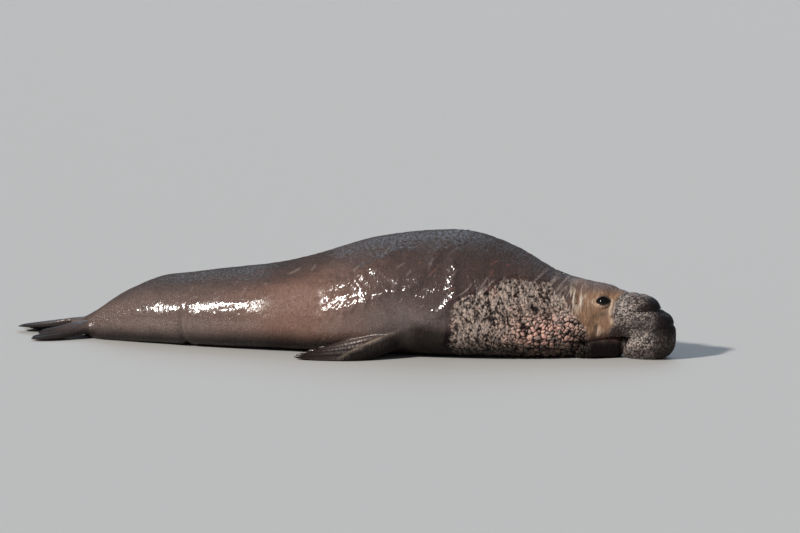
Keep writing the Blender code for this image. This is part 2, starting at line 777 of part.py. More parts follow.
def build():
    clear_scene()
    nodes = new_collection(OBJECT_NAME)
    cutters = new_collection("cutters")
    skins = {name: material(name) for name in COLOURS}

    hide = loft("hide_whole", hide_rings(), cutters)
    apply_boolean(hide, "DIFFERENCE", [lobe_crease(hide, cutters)])
    made = {}
    for side, word in ((1, "left"), (-1, "right")):
        middle, look, forward, upward = eye_frame(side)
        apply_boolean(hide, "UNION", [ball("lids", middle, EYE_RADIUS + LID_THICKNESS, cutters)])
        apply_boolean(hide, "DIFFERENCE", [lid_opening(side, cutters)])
        apply_boolean(hide, "UNION", [lid_ring(side, cutters)])
        socket = ball("socket", middle, EYE_RADIUS + TOUCH_GAP, cutters)
        apply_boolean(hide, "DIFFERENCE", [socket])
        made[f"eye_{word}"] = (ball(f"eye_{word}", middle, EYE_RADIUS, nodes), "eye")
        apply_boolean(hide, "DIFFERENCE", [pit(EAR_AT, EAR_HALF_SIZE, side, cutters)])
        apply_boolean(hide, "DIFFERENCE", [pit(NOSTRIL_AT, NOSTRIL_HALF_SIZE, side, cutters)])

    head_side, proboscis_side = muzzle_planes()
    spans = {
        "rump": ((before_x(RUMP_CUT),), "hide"),
        "abdomen": ((after_x(RUMP_CUT), before_x(WAIST_CUT)), "hide"),
        "chest": ((after_x(WAIST_CUT), before_x(COLLAR_CUT)), "hide"),
        "neck": ((after_x(COLLAR_CUT), before_x(NAPE_CUT)), "hide"),
        "head": ((after_x(NAPE_CUT), head_side), "face"),
        "proboscis": ((proboscis_side,), "proboscis"),
    }
    for name, (planes, skin) in spans.items():
        made[name] = (slab(hide, name, planes, nodes), skin)

    jaw = simple_loft("lower_jaw", JAW, JAW_RINGS, JAW_AROUND, nodes)
    apply_boolean(jaw, "DIFFERENCE", [grown(hide, CUT_CLEARANCE, cutters)])
    made["lower_jaw"] = (jaw, "face")
    tail_whole = simple_loft("tail_whole", TAIL, TAIL_RINGS, TAIL_AROUND, cutters)
    tail = slab(tail_whole, "tail", (), nodes)
    apply_boolean(tail, "DIFFERENCE", [grown(hide, CUT_CLEARANCE, cutters)])
    made["tail"] = (tail, "hide")

    for side, word in ((1, "left"), (-1, "right")):
        rings = flipper_rings(FORE_FLIPPER, fore_length)
        fore = loft(f"fore_flipper_{word}", rings * (1, side, 1), nodes)
        apply_boolean(fore, "UNION", claws(rings, side, cutters))
        apply_boolean(fore, "DIFFERENCE", [grown(hide, CUT_CLEARANCE, cutters)])
        made[fore.name] = (fore, "flipper")
        share = 1.0 if side > 0 else HIND_RIGHT_SHARE
        rings = flipper_rings(hind_stations(share), hind_length)
        hind = loft(f"hind_flipper_{word}", rings * (1, side, 1), nodes)
        apply_boolean(hind, "DIFFERENCE", [grown(hide, CUT_CLEARANCE, cutters)])
        apply_boolean(hind, "DIFFERENCE", [grown(tail_whole, CUT_CLEARANCE, cutters)])
        made[hind.name] = (hind, "flipper")

    for whole in (hide, tail_whole):
        bpy.data.objects.remove(whole, do_unlink=True)
    for item, skin in made.values():
        item.data.materials.clear()
        item.data.materials.append(skins[skin])
        item.data.shade_smooth()


if __name__ == "__main__":
    build()
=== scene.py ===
"""Looks of a life-size bull northern elephant seal that lies still on a plain pale floor.

The skin is one closed surface built from the same stations as the solids, at a finer
spacing, with the cobbled chest, the pebbled proboscis, the lids and the folds as real
relief. Lengths are in metres; x runs to the head, z is up and the floor is z = 0.
"""

import math

import bmesh
import bpy
import numpy as np
from mathutils import Matrix, Vector
from mathutils.bvhtree import BVHTree


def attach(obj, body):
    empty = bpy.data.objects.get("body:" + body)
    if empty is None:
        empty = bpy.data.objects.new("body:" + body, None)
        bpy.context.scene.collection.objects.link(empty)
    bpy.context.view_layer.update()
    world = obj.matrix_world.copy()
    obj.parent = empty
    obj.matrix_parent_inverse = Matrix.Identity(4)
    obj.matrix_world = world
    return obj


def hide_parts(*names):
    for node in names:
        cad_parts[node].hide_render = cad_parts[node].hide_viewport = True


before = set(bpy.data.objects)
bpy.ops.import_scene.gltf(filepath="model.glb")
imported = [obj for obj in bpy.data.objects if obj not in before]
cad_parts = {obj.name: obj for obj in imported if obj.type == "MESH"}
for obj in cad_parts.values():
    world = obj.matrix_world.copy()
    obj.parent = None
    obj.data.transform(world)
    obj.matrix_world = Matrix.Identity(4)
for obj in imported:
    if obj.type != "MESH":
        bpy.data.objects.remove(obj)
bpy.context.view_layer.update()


def tone(red, green, blue):
    """Linear light from the red, green and blue of a screen, 0 to 255."""
    share = np.array((red, green, blue)) / 255
    return np.where(share <= 0.04045, share / 12.92, ((share + 0.055) / 1.055) ** 2.4)


# Driving sizes, as in the solids
BACK_HEIGHT = 0.748
CHEST_WIDTH = 0.98
HALF_CHEST = CHEST_WIDTH / 2
SINK = 0.018  # how far the round of the belly is pressed flat by the floor
COAT_DEPTH = 0.0015  # how far the skin lies inside the solids

# Spacing of the skin
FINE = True
AROUND = 384 if FINE else 192
TRUNK_RINGS = 320 if FINE else 150
NECK_RINGS = 150 if FINE else 80
HEAD_RINGS = 130 if FINE else 70
PROBOSCIS_RINGS = 170 if FINE else 90
SECTION_SAMPLES = 961
JAW_RINGS = 110 if FINE else 60
JAW_AROUND = 200 if FINE else 100
TAIL_RINGS = 40
TAIL_AROUND = 72
FLIPPER_RINGS = 110 if FINE else 60
FLIPPER_ACROSS = 110 if FINE else 60

# The body bends a little: sideways shift of the head and of the hind end
HEAD_SWAY = -0.055
HEAD_SWAY_FROM = 0.70
TAIL_SWAY = 0.035
TAIL_SWAY_FROM = -0.50

# Stations at which the rings of the skin come closer together
NECK_FROM_STATION = 15
HEAD_FROM_STATION = 20
PROBOSCIS_FROM_STATION = 25

# The deep crease that parts the lobes of the proboscis
LOBE_CREASE_MIDDLE = (1.860, 0.302)
LOBE_CREASE_TURN = 1.75  # radians to each side of straight ahead
LOBE_CREASE_DEPTH = 0.028
LOBE_CREASE_HALF_GAP = 0.0058
LOBE_CREASE_POINTS = 61

# How far the softening of a seam or rim reaches along the mesh, and how often it's repeated
SEAM_STEPS = 6
SEAM_ROUNDS = 14
HIND_SEAM_FROM = -1.45
HIND_SEAM_TIMES = 3

# Folds of thick hide
NECK_FOLDS_FROM = 0.86
NECK_FOLDS_TO = 1.50
NECK_FOLD_PITCH = 0.086
NECK_FOLD_DEPTH = 0.009
NECK_FOLD_LEAN = 0.22
FLANK_FOLD_X = -0.935
FLANK_FOLD_DEPTH = 0.012
FLANK_FOLD_WIDTH = 0.022

# Rounded folds of the shoulder: x and z along each crest, then its half width and height
SHOULDER_FOLDS = (
    (((-0.06, 0.370), (0.16, 0.480), (0.30, 0.560), (0.45, 0.640)), 0.046, 0.015),
    (((0.00, 0.262), (0.30, 0.372), (0.56, 0.462), (0.66, 0.580), (0.72, 0.690)), 0.040, 0.013),
    (((0.78, 0.720), (0.80, 0.560), (0.815, 0.380), (0.66, 0.235)), 0.032, 0.013),
)

# Eyes
EYE_RADIUS = 0.045
EYE_AT = (1.6824, 0.1168, 0.3483)
EYE_LOOK = (0.20, 0.90, 0.39)
EYE_GAP = 0.0004
LID_LENGTH = 0.082
LID_OPENING = 0.052
LID_THICKNESS = 0.0055
LID_EDGE_RADIUS = 0.0046
LID_POINTS = 96
LID_SIDES = 14

# Ear holes and nostrils
EAR_AT = (1.530, 0.196, 0.345)
EAR_HALF_SIZE = (0.008, 0.012, 0.006)
NOSTRIL_AT = (1.786, 0.060, 0.034)
NOSTRIL_HALF_SIZE = (0.032, 0.008, 0.024)

# Flippers
FORE_LEAST_LENGTH = 0.80
HIND_ROOT_X = -1.56
HIND_RIGHT_SHARE = 0.66
HIND_NOTCH = 0.12
HIND_NOTCH_HALF_WIDTH = 0.38
DIGITS = 5
FORE_WEB_DIP = 0.035
FORE_EDGE_ROUNDING = 0.08
HIND_WEB_DIP = 0.050
HIND_EDGE_ROUNDING = 0.20
DIGIT_RELIEF = 0.28
CLAW_LENGTH = 0.052
CLAW_RADIUS = 0.0085
CLAW_OVERHANG = 0.010
CLAW_RINGS = 12
CLAW_LIFT = 0.002

# Whiskers and fur
WHISKER_ROWS = 6
WHISKERS_IN_ROW = 6
BROW_WHISKERS = 5
WHISKER_RADIUS = 0.0009
TUFTS_PER_SQUARE_METRE = 15000 if FINE else 1500
MOST_TUFTS = 84000
MOST_TUFT_TRIANGLES = 190000
TUFT_LENGTH = 0.017
TUFT_WIDTH = 0.0026
TUFT_RISE = 0.0009
TUFT_SINK = 0.0012
TUFT_STRAY = 0.010
TUFT_PATCH = 0.003  # how far a tuft spans the skin's map, which runs from 0 to 1

# A blade of fur: the corners of its triangles, and where each corner lies on the skin's map
TUFT_TRIANGLES = np.array([
    (0, 1, 2),
    (0, 3, 4), (0, 4, 1), (1, 4, 5), (1, 5, 2), (2, 5, 3), (2, 3, 0),
    (3, 6, 4), (4, 6, 5), (5, 6, 3),
])
TUFT_MAP = np.array(((-1, 0), (1, 0), (0, 0), (-1, 1), (1, 1), (0, 1), (0, 2)))

# The cobbled shield of the chest: its upper edge, x and z, its ends, and its relief
SHIELD_TOP = (
    (0.74, 0.20),
    (0.78, 0.365),
    (0.97, 0.432),
    (1.088, 0.487),
    (1.172, 0.508),
    (1.351, 0.457),
    (1.447, 0.400),
    (1.500, 0.330),
    (1.560, 0.240),
    (1.640, 0.140),
)
SHIELD_REAR_X = 0.80
SHIELD_FRONT_X = 1.575
KNOB_SIZE = (0.034, 0.036, 0.023)
COBBLE_SIZE = (0.018, 0.022, 0.016)
COBBLE_DEPTH = 0.0120
FOLD_ROW = 0.062
FOLD_ROW_DEPTH = 0.0065

# The pebbled proboscis and its rear edge, the mouth, and the leading edge of the fore flipper
PEBBLE_SIZE = 0.0090
PEBBLE_DEPTH = 0.0034
PROBOSCIS_EDGE_Z = (0.00, 0.118, 0.135, 0.19, 0.22, 0.30, 0.36, 0.42)
PROBOSCIS_EDGE_X = (1.790, 1.795, 1.705, 1.722, 1.752, 1.738, 1.755, 1.800)
MOUTH_CORNER_X = 1.690
ARM_EDGE_TOP = (0.516, 0.205)
ARM_EDGE_LOW = (0.110, 0.012)

# Soft round patches on both sides: x and z of the middle, then how far along x and z
SHOULDER_WRINKLES = (0.36, 0.42, 0.34, 0.26)
UNDER_EYE_HOLLOW = (1.665, 0.265, 0.045, 0.050)
NECK_CREASES = (1.525, 0.38, 0.060, 0.070)
FLANK_PATCH = (-0.18, 0.30, 0.34, 0.26)
ARM_PATCH = (0.52, 0.28, 0.22, 0.12)
UNDER_EYE = (1.690, 0.285, 0.036, 0.024)
FORE_CHEEK = (1.705, 0.235, 0.028, 0.040)
PINK_KNOBS = (1.36, 0.14, 0.24, 0.15)
# Painted highlights on the wet wrinkles of the neck
FOLD_HIGHLIGHTS = (1.515, 0.375, 0.075, 0.070)
# Painted shade in a hollow of the lobes
LOBE_HOLLOW_SHADE = (1.92, 0.215, 0.09, 0.045)
WHISKER_PAD = (1.765, 0.165, 0.055, 0.045)
MOUTH_CORNER = (1.665, 0.17, 0.022, 0.05)
# Painted highlights on the lit parts of the proboscis: strength, then the patch
PROBOSCIS_HIGHLIGHTS = (
    (0.8, (1.95, 0.125, 0.16, 0.050)),
    (0.7, (1.80, 0.34, 0.05, 0.07)),
    (0.6, (1.93, 0.275, 0.09, 0.028)),
)

# The painted shade of the underside reaches up to these heights at these places
SHADE_TOP_X = (-1.2, -0.5, 0.25, 0.45, 0.70, 0.85)
SHADE_TOP_Z = (0.13, 0.16, 0.18, 0.30, 0.28, 0.16)

# Colours of the hide
BODY = tone(102, 78, 71)
BODY_RED = tone(124, 92, 80)
REAR = tone(98, 80, 74)
SHOULDER = tone(54, 38, 36)
BACK = tone(46, 37, 37)
# Painted shade for the underside of the body
UNDERSIDE_SHADE = tone(24, 18, 17)
# Painted shade for the pocket behind the fore flipper and over the jaw
DEEP_SHADE = tone(15, 11, 11)
ARM = tone(98, 84, 82)
SHIELD_TONE = tone(182, 163, 151)
SHIELD_PINK = tone(230, 178, 162)
# Painted shade for the grooves between the cobbles of the shield
GROOVE_SHADE = tone(28, 20, 19)
NECK = tone(70, 55, 52)
CHEEK = tone(142, 108, 82)
CHEEK_DARK = tone(84, 60, 48)
OLIVE = tone(62, 52, 40)
BROW = tone(98, 80, 74)
# Pale skin, also used for painted highlights on raised edges
PALE_SKIN_AND_HIGHLIGHT = tone(186, 166, 148)
# Painted highlight for the wet wrinkles of the neck
FOLD_HIGHLIGHT = tone(206, 190, 174)
PROBOSCIS_TONE = tone(146, 132, 125)
# Painted highlight for the proboscis
PROBOSCIS_HIGHLIGHT = tone(178, 166, 158)
# Painted shade, used on the proboscis and over the eyes
SHADE_TONE = tone(36, 30, 30)
# Painted shade for the fronts of the proboscis, which face away from the light
FRONT_SHADE = tone(13, 11, 12)
PAD = tone(52, 40, 37)
MOUTH_LINE = tone(104, 60, 54)
LID_RIM = tone(44, 34, 31)
SCAR = tone(170, 154, 148)
SCAR_RED = tone(142, 88, 80)
CLAW_TONE = tone(46, 38, 34)
WHISKER_TONE = tone(60, 50, 42)
EYE_TONE = tone(9, 6, 5)

# Scars: how many; least and most x and z; lengths; leans in radians; seed; tone and strength
SCARS = (
    (90, (0.84, 0.16), (1.50, 0.50), (0.05, 0.16), (0.7, 1.2), 11, SCAR, 0.70),
    (50, (-1.2, 0.24), (1.1, 0.66), (0.02, 0.09), (0.2, 1.2), 12, SCAR, 0.40),
    (26, (0.5, 0.30), (1.2, 0.62), (0.02, 0.06), (0.2, 1.4), 13, SCAR_RED, 0.6),
)

# Finish of the hide: scales are lumps per metre, and pairs are for dry and for wet hide
HAIR_SCALE = (55.0, 150.0, 150.0)
STROKE_SCALE = (84.0, 42.0, 28.0)
STROKE_LEAN = 25.0  # degrees
GRAIN_SCALE = 95.0
TINT_RANGE = (0.72, 1.28)  # how much the hairs darken and lighten the colour
ROUGHNESS = (0.58, 0.15)
ROUGHNESS_GRAIN = 0.20
SPECULAR = (0.10, 0.85)
STROKE_BUMP = (0.85, 0.46)
GRAIN_BUMP = (0.60, 0.10)
STROKE_BUMP_DEPTH = 0.0065
GRAIN_BUMP_DEPTH = 0.0022
HAIR_BUMP_DEPTH = 0.0016
WET_HAIR_SHARE = 0.2
TUFT_WETNESS = 0.9
HORN_GRAIN_SCALE = 60.0
EYE_SPECULAR = 0.35

# Floor, lights and camera
FLOOR_HALF = 60.0
FLOOR_DROP = 0.0005
FLOOR_TONE = (0.54, 0.53, 0.515)
KEY_TOWARD = (-0.577, -0.631, 0.518)
KEY_SPREAD = 4.5  # degrees
KEY_STRENGTH = 3.7
KEY_COLOUR = (1.0, 0.96, 0.90)
TOP_TOWARD = (-0.1, 0.75, 0.65)
TOP_SPREAD = 50.0  # degrees
TOP_STRENGTH = 0.75
TOP_COLOUR = (0.66, 0.82, 1.0)
WORLD_COLOUR = (0.80, 0.86, 0.95, 1.0)
WORLD_STRENGTH = 0.23
CAMERA_AZIMUTH = 13.0  # degrees
CAMERA_ELEVATION = 8.0  # degrees
CAMERA_LENS = 300.0
CAMERA_SENSOR = 36.0

# The picture's size and scale in pixels, and where the origin lies in it
PICTURE_WIDTH = 800
PICTURE_HEIGHT = 533
PIXELS_PER_METRE = 161
ORIGIN_ACROSS = 342
ORIGIN_DOWN = 345.6
FRAME_WIDTH_AT_TARGET = PICTURE_WIDTH / PIXELS_PER_METRE
CAMERA_TARGET_RIGHT = (PICTURE_WIDTH / 2 - ORIGIN_ACROSS) / PIXELS_PER_METRE
CAMERA_TARGET_UP = (ORIGIN_DOWN - PICTURE_HEIGHT / 2) / PIXELS_PER_METRE

# Stations of the hide: back x, z; belly x, z; half width; level of the widest point, 0 belly
# to 1 back; roundness of the upper and lower half (2 is an ellipse, more is squarer)
HIDE = np.array([
    (-1.705, 0.085, -1.705, 0.030, 0.040, 0.50, 2.0, 2.0),
    (-1.660, 0.125, -1.660, 0.005, 0.085, 0.48, 2.0, 2.2),
    (-1.600, 0.158, -1.600, -0.010, 0.118, 0.46, 2.0, 2.4),
    (-1.543, 0.197, -1.543, -SINK, 0.148, 0.45, 2.0, 2.5),
    (-1.480, 0.242, -1.480, -SINK, 0.178, 0.44, 2.0, 2.5),
    (-1.398, 0.293, -1.398, -SINK, 0.212, 0.43, 2.0, 2.5),
    (-1.249, 0.367, -1.249, -SINK, 0.266, 0.42, 2.0, 2.5),
    (-1.154, 0.400, -1.154, -SINK, 0.292, 0.41, 2.0, 2.5),
    (-0.956, 0.431, -0.956, -SINK, 0.332, 0.40, 2.0, 2.6),
    (-0.663, 0.473, -0.663, -SINK, 0.378, 0.40, 2.0, 2.6),
    (-0.370, 0.517, -0.370, -SINK, 0.420, 0.40, 2.0, 2.6),
    (-0.108, 0.588, -0.108, -SINK, 0.455, 0.39, 2.0, 2.7),
    (0.217, 0.688, 0.217, -SINK, 0.482, 0.38, 2.0, 2.8),
    (0.450, 0.727, 0.450, -SINK, HALF_CHEST, 0.37, 2.0, 2.8),
    (0.708, BACK_HEIGHT, 0.708, -SINK, 0.484, 0.36, 2.0, 2.8),
    (0.835, 0.739, 0.835, -SINK, 0.474, 0.36, 2.0, 2.8),
    (0.969, 0.704, 0.969, -SINK, 0.452, 0.36, 2.0, 2.8),
    (1.116, 0.644, 1.116, -SINK, 0.410, 0.37, 2.0, 2.8),
    (1.230, 0.584, 1.230, -SINK, 0.368, 0.38, 2.0, 2.8),
    (1.326, 0.533, 1.326, -SINK, 0.322, 0.39, 2.0, 2.8),
    (1.441, 0.492, 1.430, -SINK, 0.264, 0.42, 2.1, 2.7),
    (1.530, 0.472, 1.510, -0.006, 0.218, 0.47, 2.2, 2.5),
    (1.600, 0.460, 1.585, 0.014, 0.186, 0.50, 2.2, 2.4),
    (1.665, 0.450, 1.650, 0.062, 0.166, 0.50, 2.2, 2.3),
    (1.720, 0.437, 1.705, 0.108, 0.156, 0.46, 2.2, 2.3),
    (1.782, 0.413, 1.752, 0.122, 0.150, 0.42, 2.2, 2.3),
    (1.852, 0.403, 1.790, 0.124, 0.143, 0.45, 2.2, 2.3),
    (1.928, 0.390, 1.808, 0.124, 0.137, 0.48, 2.2, 2.3),
    (1.992, 0.360, 1.815, 0.122, 0.132, 0.50, 2.2, 2.3),
    (2.042, 0.306, 1.819, 0.119, 0.129, 0.50, 2.2, 2.3),
    (2.086, 0.258, 1.820, 0.114, 0.128, 0.50, 2.2, 2.3),
    (2.111, 0.205, 1.817, 0.105, 0.130, 0.50, 2.2, 2.3),
    (2.120, 0.150, 1.810, 0.093, 0.132, 0.50, 2.2, 2.3),
    (2.118, 0.098, 1.799, 0.077, 0.132, 0.50, 2.2, 2.3),
    (2.105, 0.052, 1.787, 0.057, 0.126, 0.50, 2.2, 2.3),
    (2.078, 0.018, 1.780, 0.036, 0.112, 0.50, 2.2, 2.3),
    (2.030, -0.004, 1.788, 0.013, 0.088, 0.50, 2.2, 2.3),
    (1.960, -0.020, 1.860, -0.006, 0.040, 0.50, 2.2, 2.3),
])

# Stations of the lower jaw, as those of the hide
JAW = np.array([
    (1.500, 0.080, 1.500, -SINK, 0.150, 0.50, 2.0, 2.4),
    (1.550, 0.112, 1.550, -SINK, 0.184, 0.50, 2.2, 2.4),
    (1.610, 0.130, 1.610, -SINK, 0.178, 0.52, 2.3, 2.4),
    (1.670, 0.133, 1.665, -SINK, 0.146, 0.55, 2.5, 2.3),
    (1.725, 0.131, 1.715, -SINK, 0.118, 0.60, 2.8, 2.2),
    (1.772, 0.126, 1.755, -0.010, 0.094, 0.60, 2.8, 2.1),
    (1.818, 0.118, 1.800, 0.030, 0.062, 0.50, 2.4, 2.0),
])

# Creases of the head: x and z of the start and the end, half width, depth
CREASES = (
    (2.070, 0.303, 1.900, 0.303, 0.028, 0.014),
    (2.140, 0.215, 1.925, 0.160, 0.013, 0.007),
    (1.905, 0.430, 1.850, 0.330, 0.012, 0.004),
    (1.835, 0.440, 1.765, 0.270, 0.014, 0.006),
    (1.655, 0.200, 1.625, 0.090, 0.012, 0.009),
)

# Swellings of the head: x, distance to the side, z; reach and height
SWELLINGS = (
    (1.745, 0.130, 0.170, 0.045, 0.014),  # whisker pad
    (1.690, 0.095, 0.425, 0.035, 0.008),  # brow
    (1.600, 0.180, 0.230, 0.060, 0.008),  # cheek
    (1.955, 0.085, 0.335, 0.045, 0.006),  # lobe over the crease
    (2.050, 0.080, 0.250, 0.060, 0.008),  # lobe under the crease
    (1.810, 0.110, 0.045, 0.035, 0.008),  # rim of the nostrils
    (1.684, 0.148, 0.360, 0.042, -0.010),  # eye socket
)

# Stations of the tail, as those of the hide
TAIL = np.array([
    (-1.560, 0.140, -1.560, 0.080, 0.060, 0.50, 2.0, 2.0),
    (-1.640, 0.128, -1.640, 0.078, 0.052, 0.50, 2.0, 2.0),
    (-1.710, 0.112, -1.712, 0.076, 0.038, 0.50, 2.0, 2.0),
    (-1.760, 0.096, -1.760, 0.078, 0.014, 0.50, 2.0, 2.0),
])

# Stations of the flippers: x, y, z; half width, half thickness; x, y, z of the way across
FORE_FLIPPER = np.array([
    (0.520, 0.330, 0.150, 0.090, 0.060, 0.20, -0.30, 0.93),
    (0.420, 0.425, 0.125, 0.100, 0.050, 0.12, -0.55, 0.82),
    (0.290, 0.492, 0.082, 0.105, 0.036, 0.02, -0.72, 0.66),
    (0.150, 0.520, 0.052, 0.112, 0.027, -0.02, -0.88, 0.42),
    (0.010, 0.530, 0.034, 0.112, 0.020, -0.04, -0.96, 0.22),
    (-0.170, 0.535, 0.016, 0.100, 0.012, -0.06, -0.99, 0.08),
])
HIND_FLIPPER = np.array([
    (-1.560, 0.070, 0.085, 0.050, 0.040, 0.00, 0.80, -0.60),
    (-1.650, 0.090, 0.075, 0.056, 0.036, 0.00, 0.85, -0.50),
    (-1.760, 0.120, 0.060, 0.085, 0.028, 0.00, 0.90, -0.40),
    (-1.900, 0.155, 0.043, 0.125, 0.020, -0.02, 0.96, -0.22),
    (-2.160, 0.190, 0.022, 0.155, 0.012, -0.02, 0.99, -0.08),
])


def smooth_curve(at, known, values):
    """Values between stations, on a cubic that doesn't overshoot where they rise or fall."""
    widths = np.diff(known)
    rates = np.diff(values) / widths
    slopes = np.zeros(len(known))
    slopes[0], slopes[-1] = rates[0], rates[-1]
    inner = (rates[:-1] * widths[1:] + rates[1:] * widths[:-1]) / (widths[:-1] + widths[1:])
    slopes[1:-1] = np.where(rates[:-1] * rates[1:] > 0, inner, 0.0)
    index = np.clip(np.searchsorted(known, at) - 1, 0, len(widths) - 1)
    share = (at - known[index]) / widths[index]
    before, after = values[index], values[index + 1]
    ease = share * share * (3 - 2 * share)
    start = slopes[index] * widths[index] * share * (1 - share) ** 2
    end = -slopes[index + 1] * widths[index] * share * share * (1 - share)
    return before + (after - before) * ease + start + end


def travelled(points):
    steps = np.linalg.norm(np.diff(points, axis=0), axis=1)
    return np.concatenate(([0.0], np.cumsum(steps)))


def station_places(stations):
    """How far along the back and belly lines, on average, each station lies."""
    return (travelled(stations[:, 0:2]) + travelled(stations[:, 2:4])) / 2


def half_section(station, points):
    """One ring's left half, from the back line down to the belly line, evenly spaced."""
    back_x, back_z, belly_x, belly_z, half_width, widest, upper, lower = station
    turn = np.linspace(0.0, math.pi, SECTION_SAMPLES)
    cosine, sine = np.cos(turn), np.sin(turn)
    power = 2 / np.where(cosine >= 0, upper, lower)
    rise = np.sign(cosine) * np.abs(cosine) ** power
    level = widest + np.where(cosine >= 0, 1 - widest, widest) * rise
    side = half_width * np.abs(sine) ** power
    line = np.column_stack(
        (
            belly_x + (back_x - belly_x) * level,
            side,
            belly_z + (back_z - belly_z) * level,
        )
    )
    run = travelled(line)
    even = np.linspace(0.0, run[-1], points + 1)
    return np.column_stack([np.interp(even, run, line[:, axis]) for axis in range(3)])


def rings_from(stations, places, around):
    known = station_places(stations)
    columns = [smooth_curve(places, known, column) for column in stations.T]
    rings = []
    for station in zip(*columns):
        left = half_section(station, around // 2)
        right = left[-2:0:-1] * (1, -1, 1)
        rings.append(np.vstack((left, right)))
    return np.array(rings)


def normals_of(rings):
    along = np.gradient(rings, axis=0)
    around = (np.roll(rings, -1, axis=1) - np.roll(rings, 1, axis=1)) / 2
    found = np.cross(along, around)
    return found / np.maximum(np.linalg.norm(found, axis=2, keepdims=True), 1e-9)


def ramp(value, start, end):
    share = np.clip((value - start) / (end - start), 0.0, 1.0)
    return share * share * (3 - 2 * share)


def band(value, start, full, fade, end):
    """Rises from start to full and falls again from fade to end."""
    return ramp(value, start, full) * (1 - ramp(value, fade, end))


def hump(value, middle, reach):
    """A soft rise to 1 at the middle."""
    return np.exp(-(((value - middle) / reach) ** 2))


def crease_relief(rings, crease):
    """A groove along a line drawn on the side of the head, fading towards its rear end."""
    start_x, start_z, end_x, end_z, width, depth = crease
    run_x, run_z = end_x - start_x, end_z - start_z
    length = math.hypot(run_x, run_z)
    off_x, off_z = rings[..., 0] - start_x, rings[..., 2] - start_z
    along = (off_x * run_x + off_z * run_z) / length**2
    across = (off_z * run_x - off_x * run_z) / length
    return -depth * hump(across, 0.0, width) * band(along, -0.25, 0.0, 0.55, 1.1)


def swelling_relief(rings, swelling):
    x, side, z, reach, height = swelling
    off = np.stack((rings[..., 0] - x, np.abs(rings[..., 1]) - side, rings[..., 2] - z))
    return height * np.exp(-(off**2).sum(axis=0) / reach**2)


def neck_fold_relief(rings):
    """Rounded transverse folds with narrow creases between them, strongest on the sides."""
    x, z = rings[..., 0], rings[..., 2]
    phase = (x + NECK_FOLD_LEAN * z - NECK_FOLDS_FROM) / NECK_FOLD_PITCH
    groove = np.abs(np.sin(math.pi * phase)) ** 0.7
    strength = band(x, NECK_FOLDS_FROM, NECK_FOLDS_FROM + 0.12, NECK_FOLDS_TO - 0.12, NECK_FOLDS_TO)
    height_share = 1 - 0.75 * ramp(z, 0.30, 0.62)
    return NECK_FOLD_DEPTH * (groove - 1) * strength * height_share


def flank_fold_relief(rings):
    low = 1 - ramp(rings[..., 2], 0.18, 0.36)
    return -FLANK_FOLD_DEPTH * hump(rings[..., 0], FLANK_FOLD_X, FLANK_FOLD_WIDTH) * low


def line_distance(x, z, line):
    """Distance to a line of straight runs drawn on the side of the body, and how far along."""
    stops = np.array(line)
    lengths = np.linalg.norm(np.diff(stops, axis=0), axis=1)
    before = np.concatenate(([0.0], np.cumsum(lengths)))
    best = np.full(x.shape, 9.0)
    along = np.zeros(x.shape)
    for number, length in enumerate(lengths):
        (x0, z0), (x1, z1) = stops[number], stops[number + 1]
        share = ((x - x0) * (x1 - x0) + (z - z0) * (z1 - z0)) / length**2
        share = np.clip(share, 0.0, 1.0)
        off = np.hypot(x - x0 - share * (x1 - x0), z - z0 - share * (z1 - z0))
        along = np.where(off < best, before[number] + share * length, along)
        best = np.minimum(best, off)
    return best, along / before[-1]


def shoulder_fold_relief(rings):
    x, z = rings[..., 0], rings[..., 2]
    flat = rings.reshape(-1, 3)
    waver = 0.020 * layered_noise(flat, 0.16, 101, 2).reshape(x.shape)
    relief = np.zeros(x.shape)
    for line, half_width, height in SHOULDER_FOLDS:
        off, along = line_distance(x + waver, z + waver, line)
        fade = band(along, 0.0, 0.2, 0.85, 1.0)
        relief = relief + height * hump(off, 0.0, half_width) * (0.3 + 0.7 * fade)
    return relief * ramp(np.abs(rings[..., 1]), 0.05, 0.20)


def posed(points):
    """The symmetric shape with its head and hind end swung a little to one side."""
    x = points[..., 0]
    shift = HEAD_SWAY * ramp(x, HEAD_SWAY_FROM, 2.4) * 1.2
    shift = shift + TAIL_SWAY * ramp(-x, -TAIL_SWAY_FROM, 2.1)
    moved = np.array(points, dtype=float)
    moved[..., 1] = moved[..., 1] + shift
    return moved


def on_floor(points):
    moved = np.array(points, dtype=float)
    moved[..., 2] = np.maximum(moved[..., 2], 0.0)
    return moved


def flipper_rings(stations, length_share):
    """A flat tapering limb with a raised ray along each digit.

    length_share gives, for each place across, how much of the full length is there.
    """
    known = travelled(stations[:, :3])
    turn = np.linspace(0.0, 2 * math.pi, 2 * FLIPPER_ACROSS, endpoint=False)
    across = np.cos(turn)
    side = np.sign(np.sin(turn)) * np.abs(np.sin(turn)) ** 0.75
    digit_wave = np.cos(math.pi * DIGITS * across)
    rings = []
    for share in np.linspace(0.0, 1.0, FLIPPER_RINGS) ** 0.9:
        reach = share * known[-1] * (1 + (length_share(across) - 1) * share**0.8)
        columns = [smooth_curve(reach, known, column) for column in stations.T]
        x, y, z, half_width, half_thick, out_x, out_y, out_z = columns
        axis = np.column_stack((out_x, out_y, out_z))
        axis = axis / np.linalg.norm(axis, axis=1, keepdims=True)
        run = stations[-1, :3] - stations[0, :3]
        run = run / np.linalg.norm(run)
        flat = np.cross(axis, run)
        flat = flat / np.linalg.norm(flat, axis=1, keepdims=True)
        tip_taper = math.sqrt(max(1 - share**6, 0.02))
        ray = 1 + DIGIT_RELIEF * digit_wave * ramp(share, 0.25, 0.7) * np.abs(side)
        thick = half_thick * tip_taper * ray
        middle = np.column_stack((x, y, z))
        ring = middle + axis * (half_width * across)[:, None] + flat * (thick * side)[:, None]
        rings.append(ring)
    return np.array(rings)


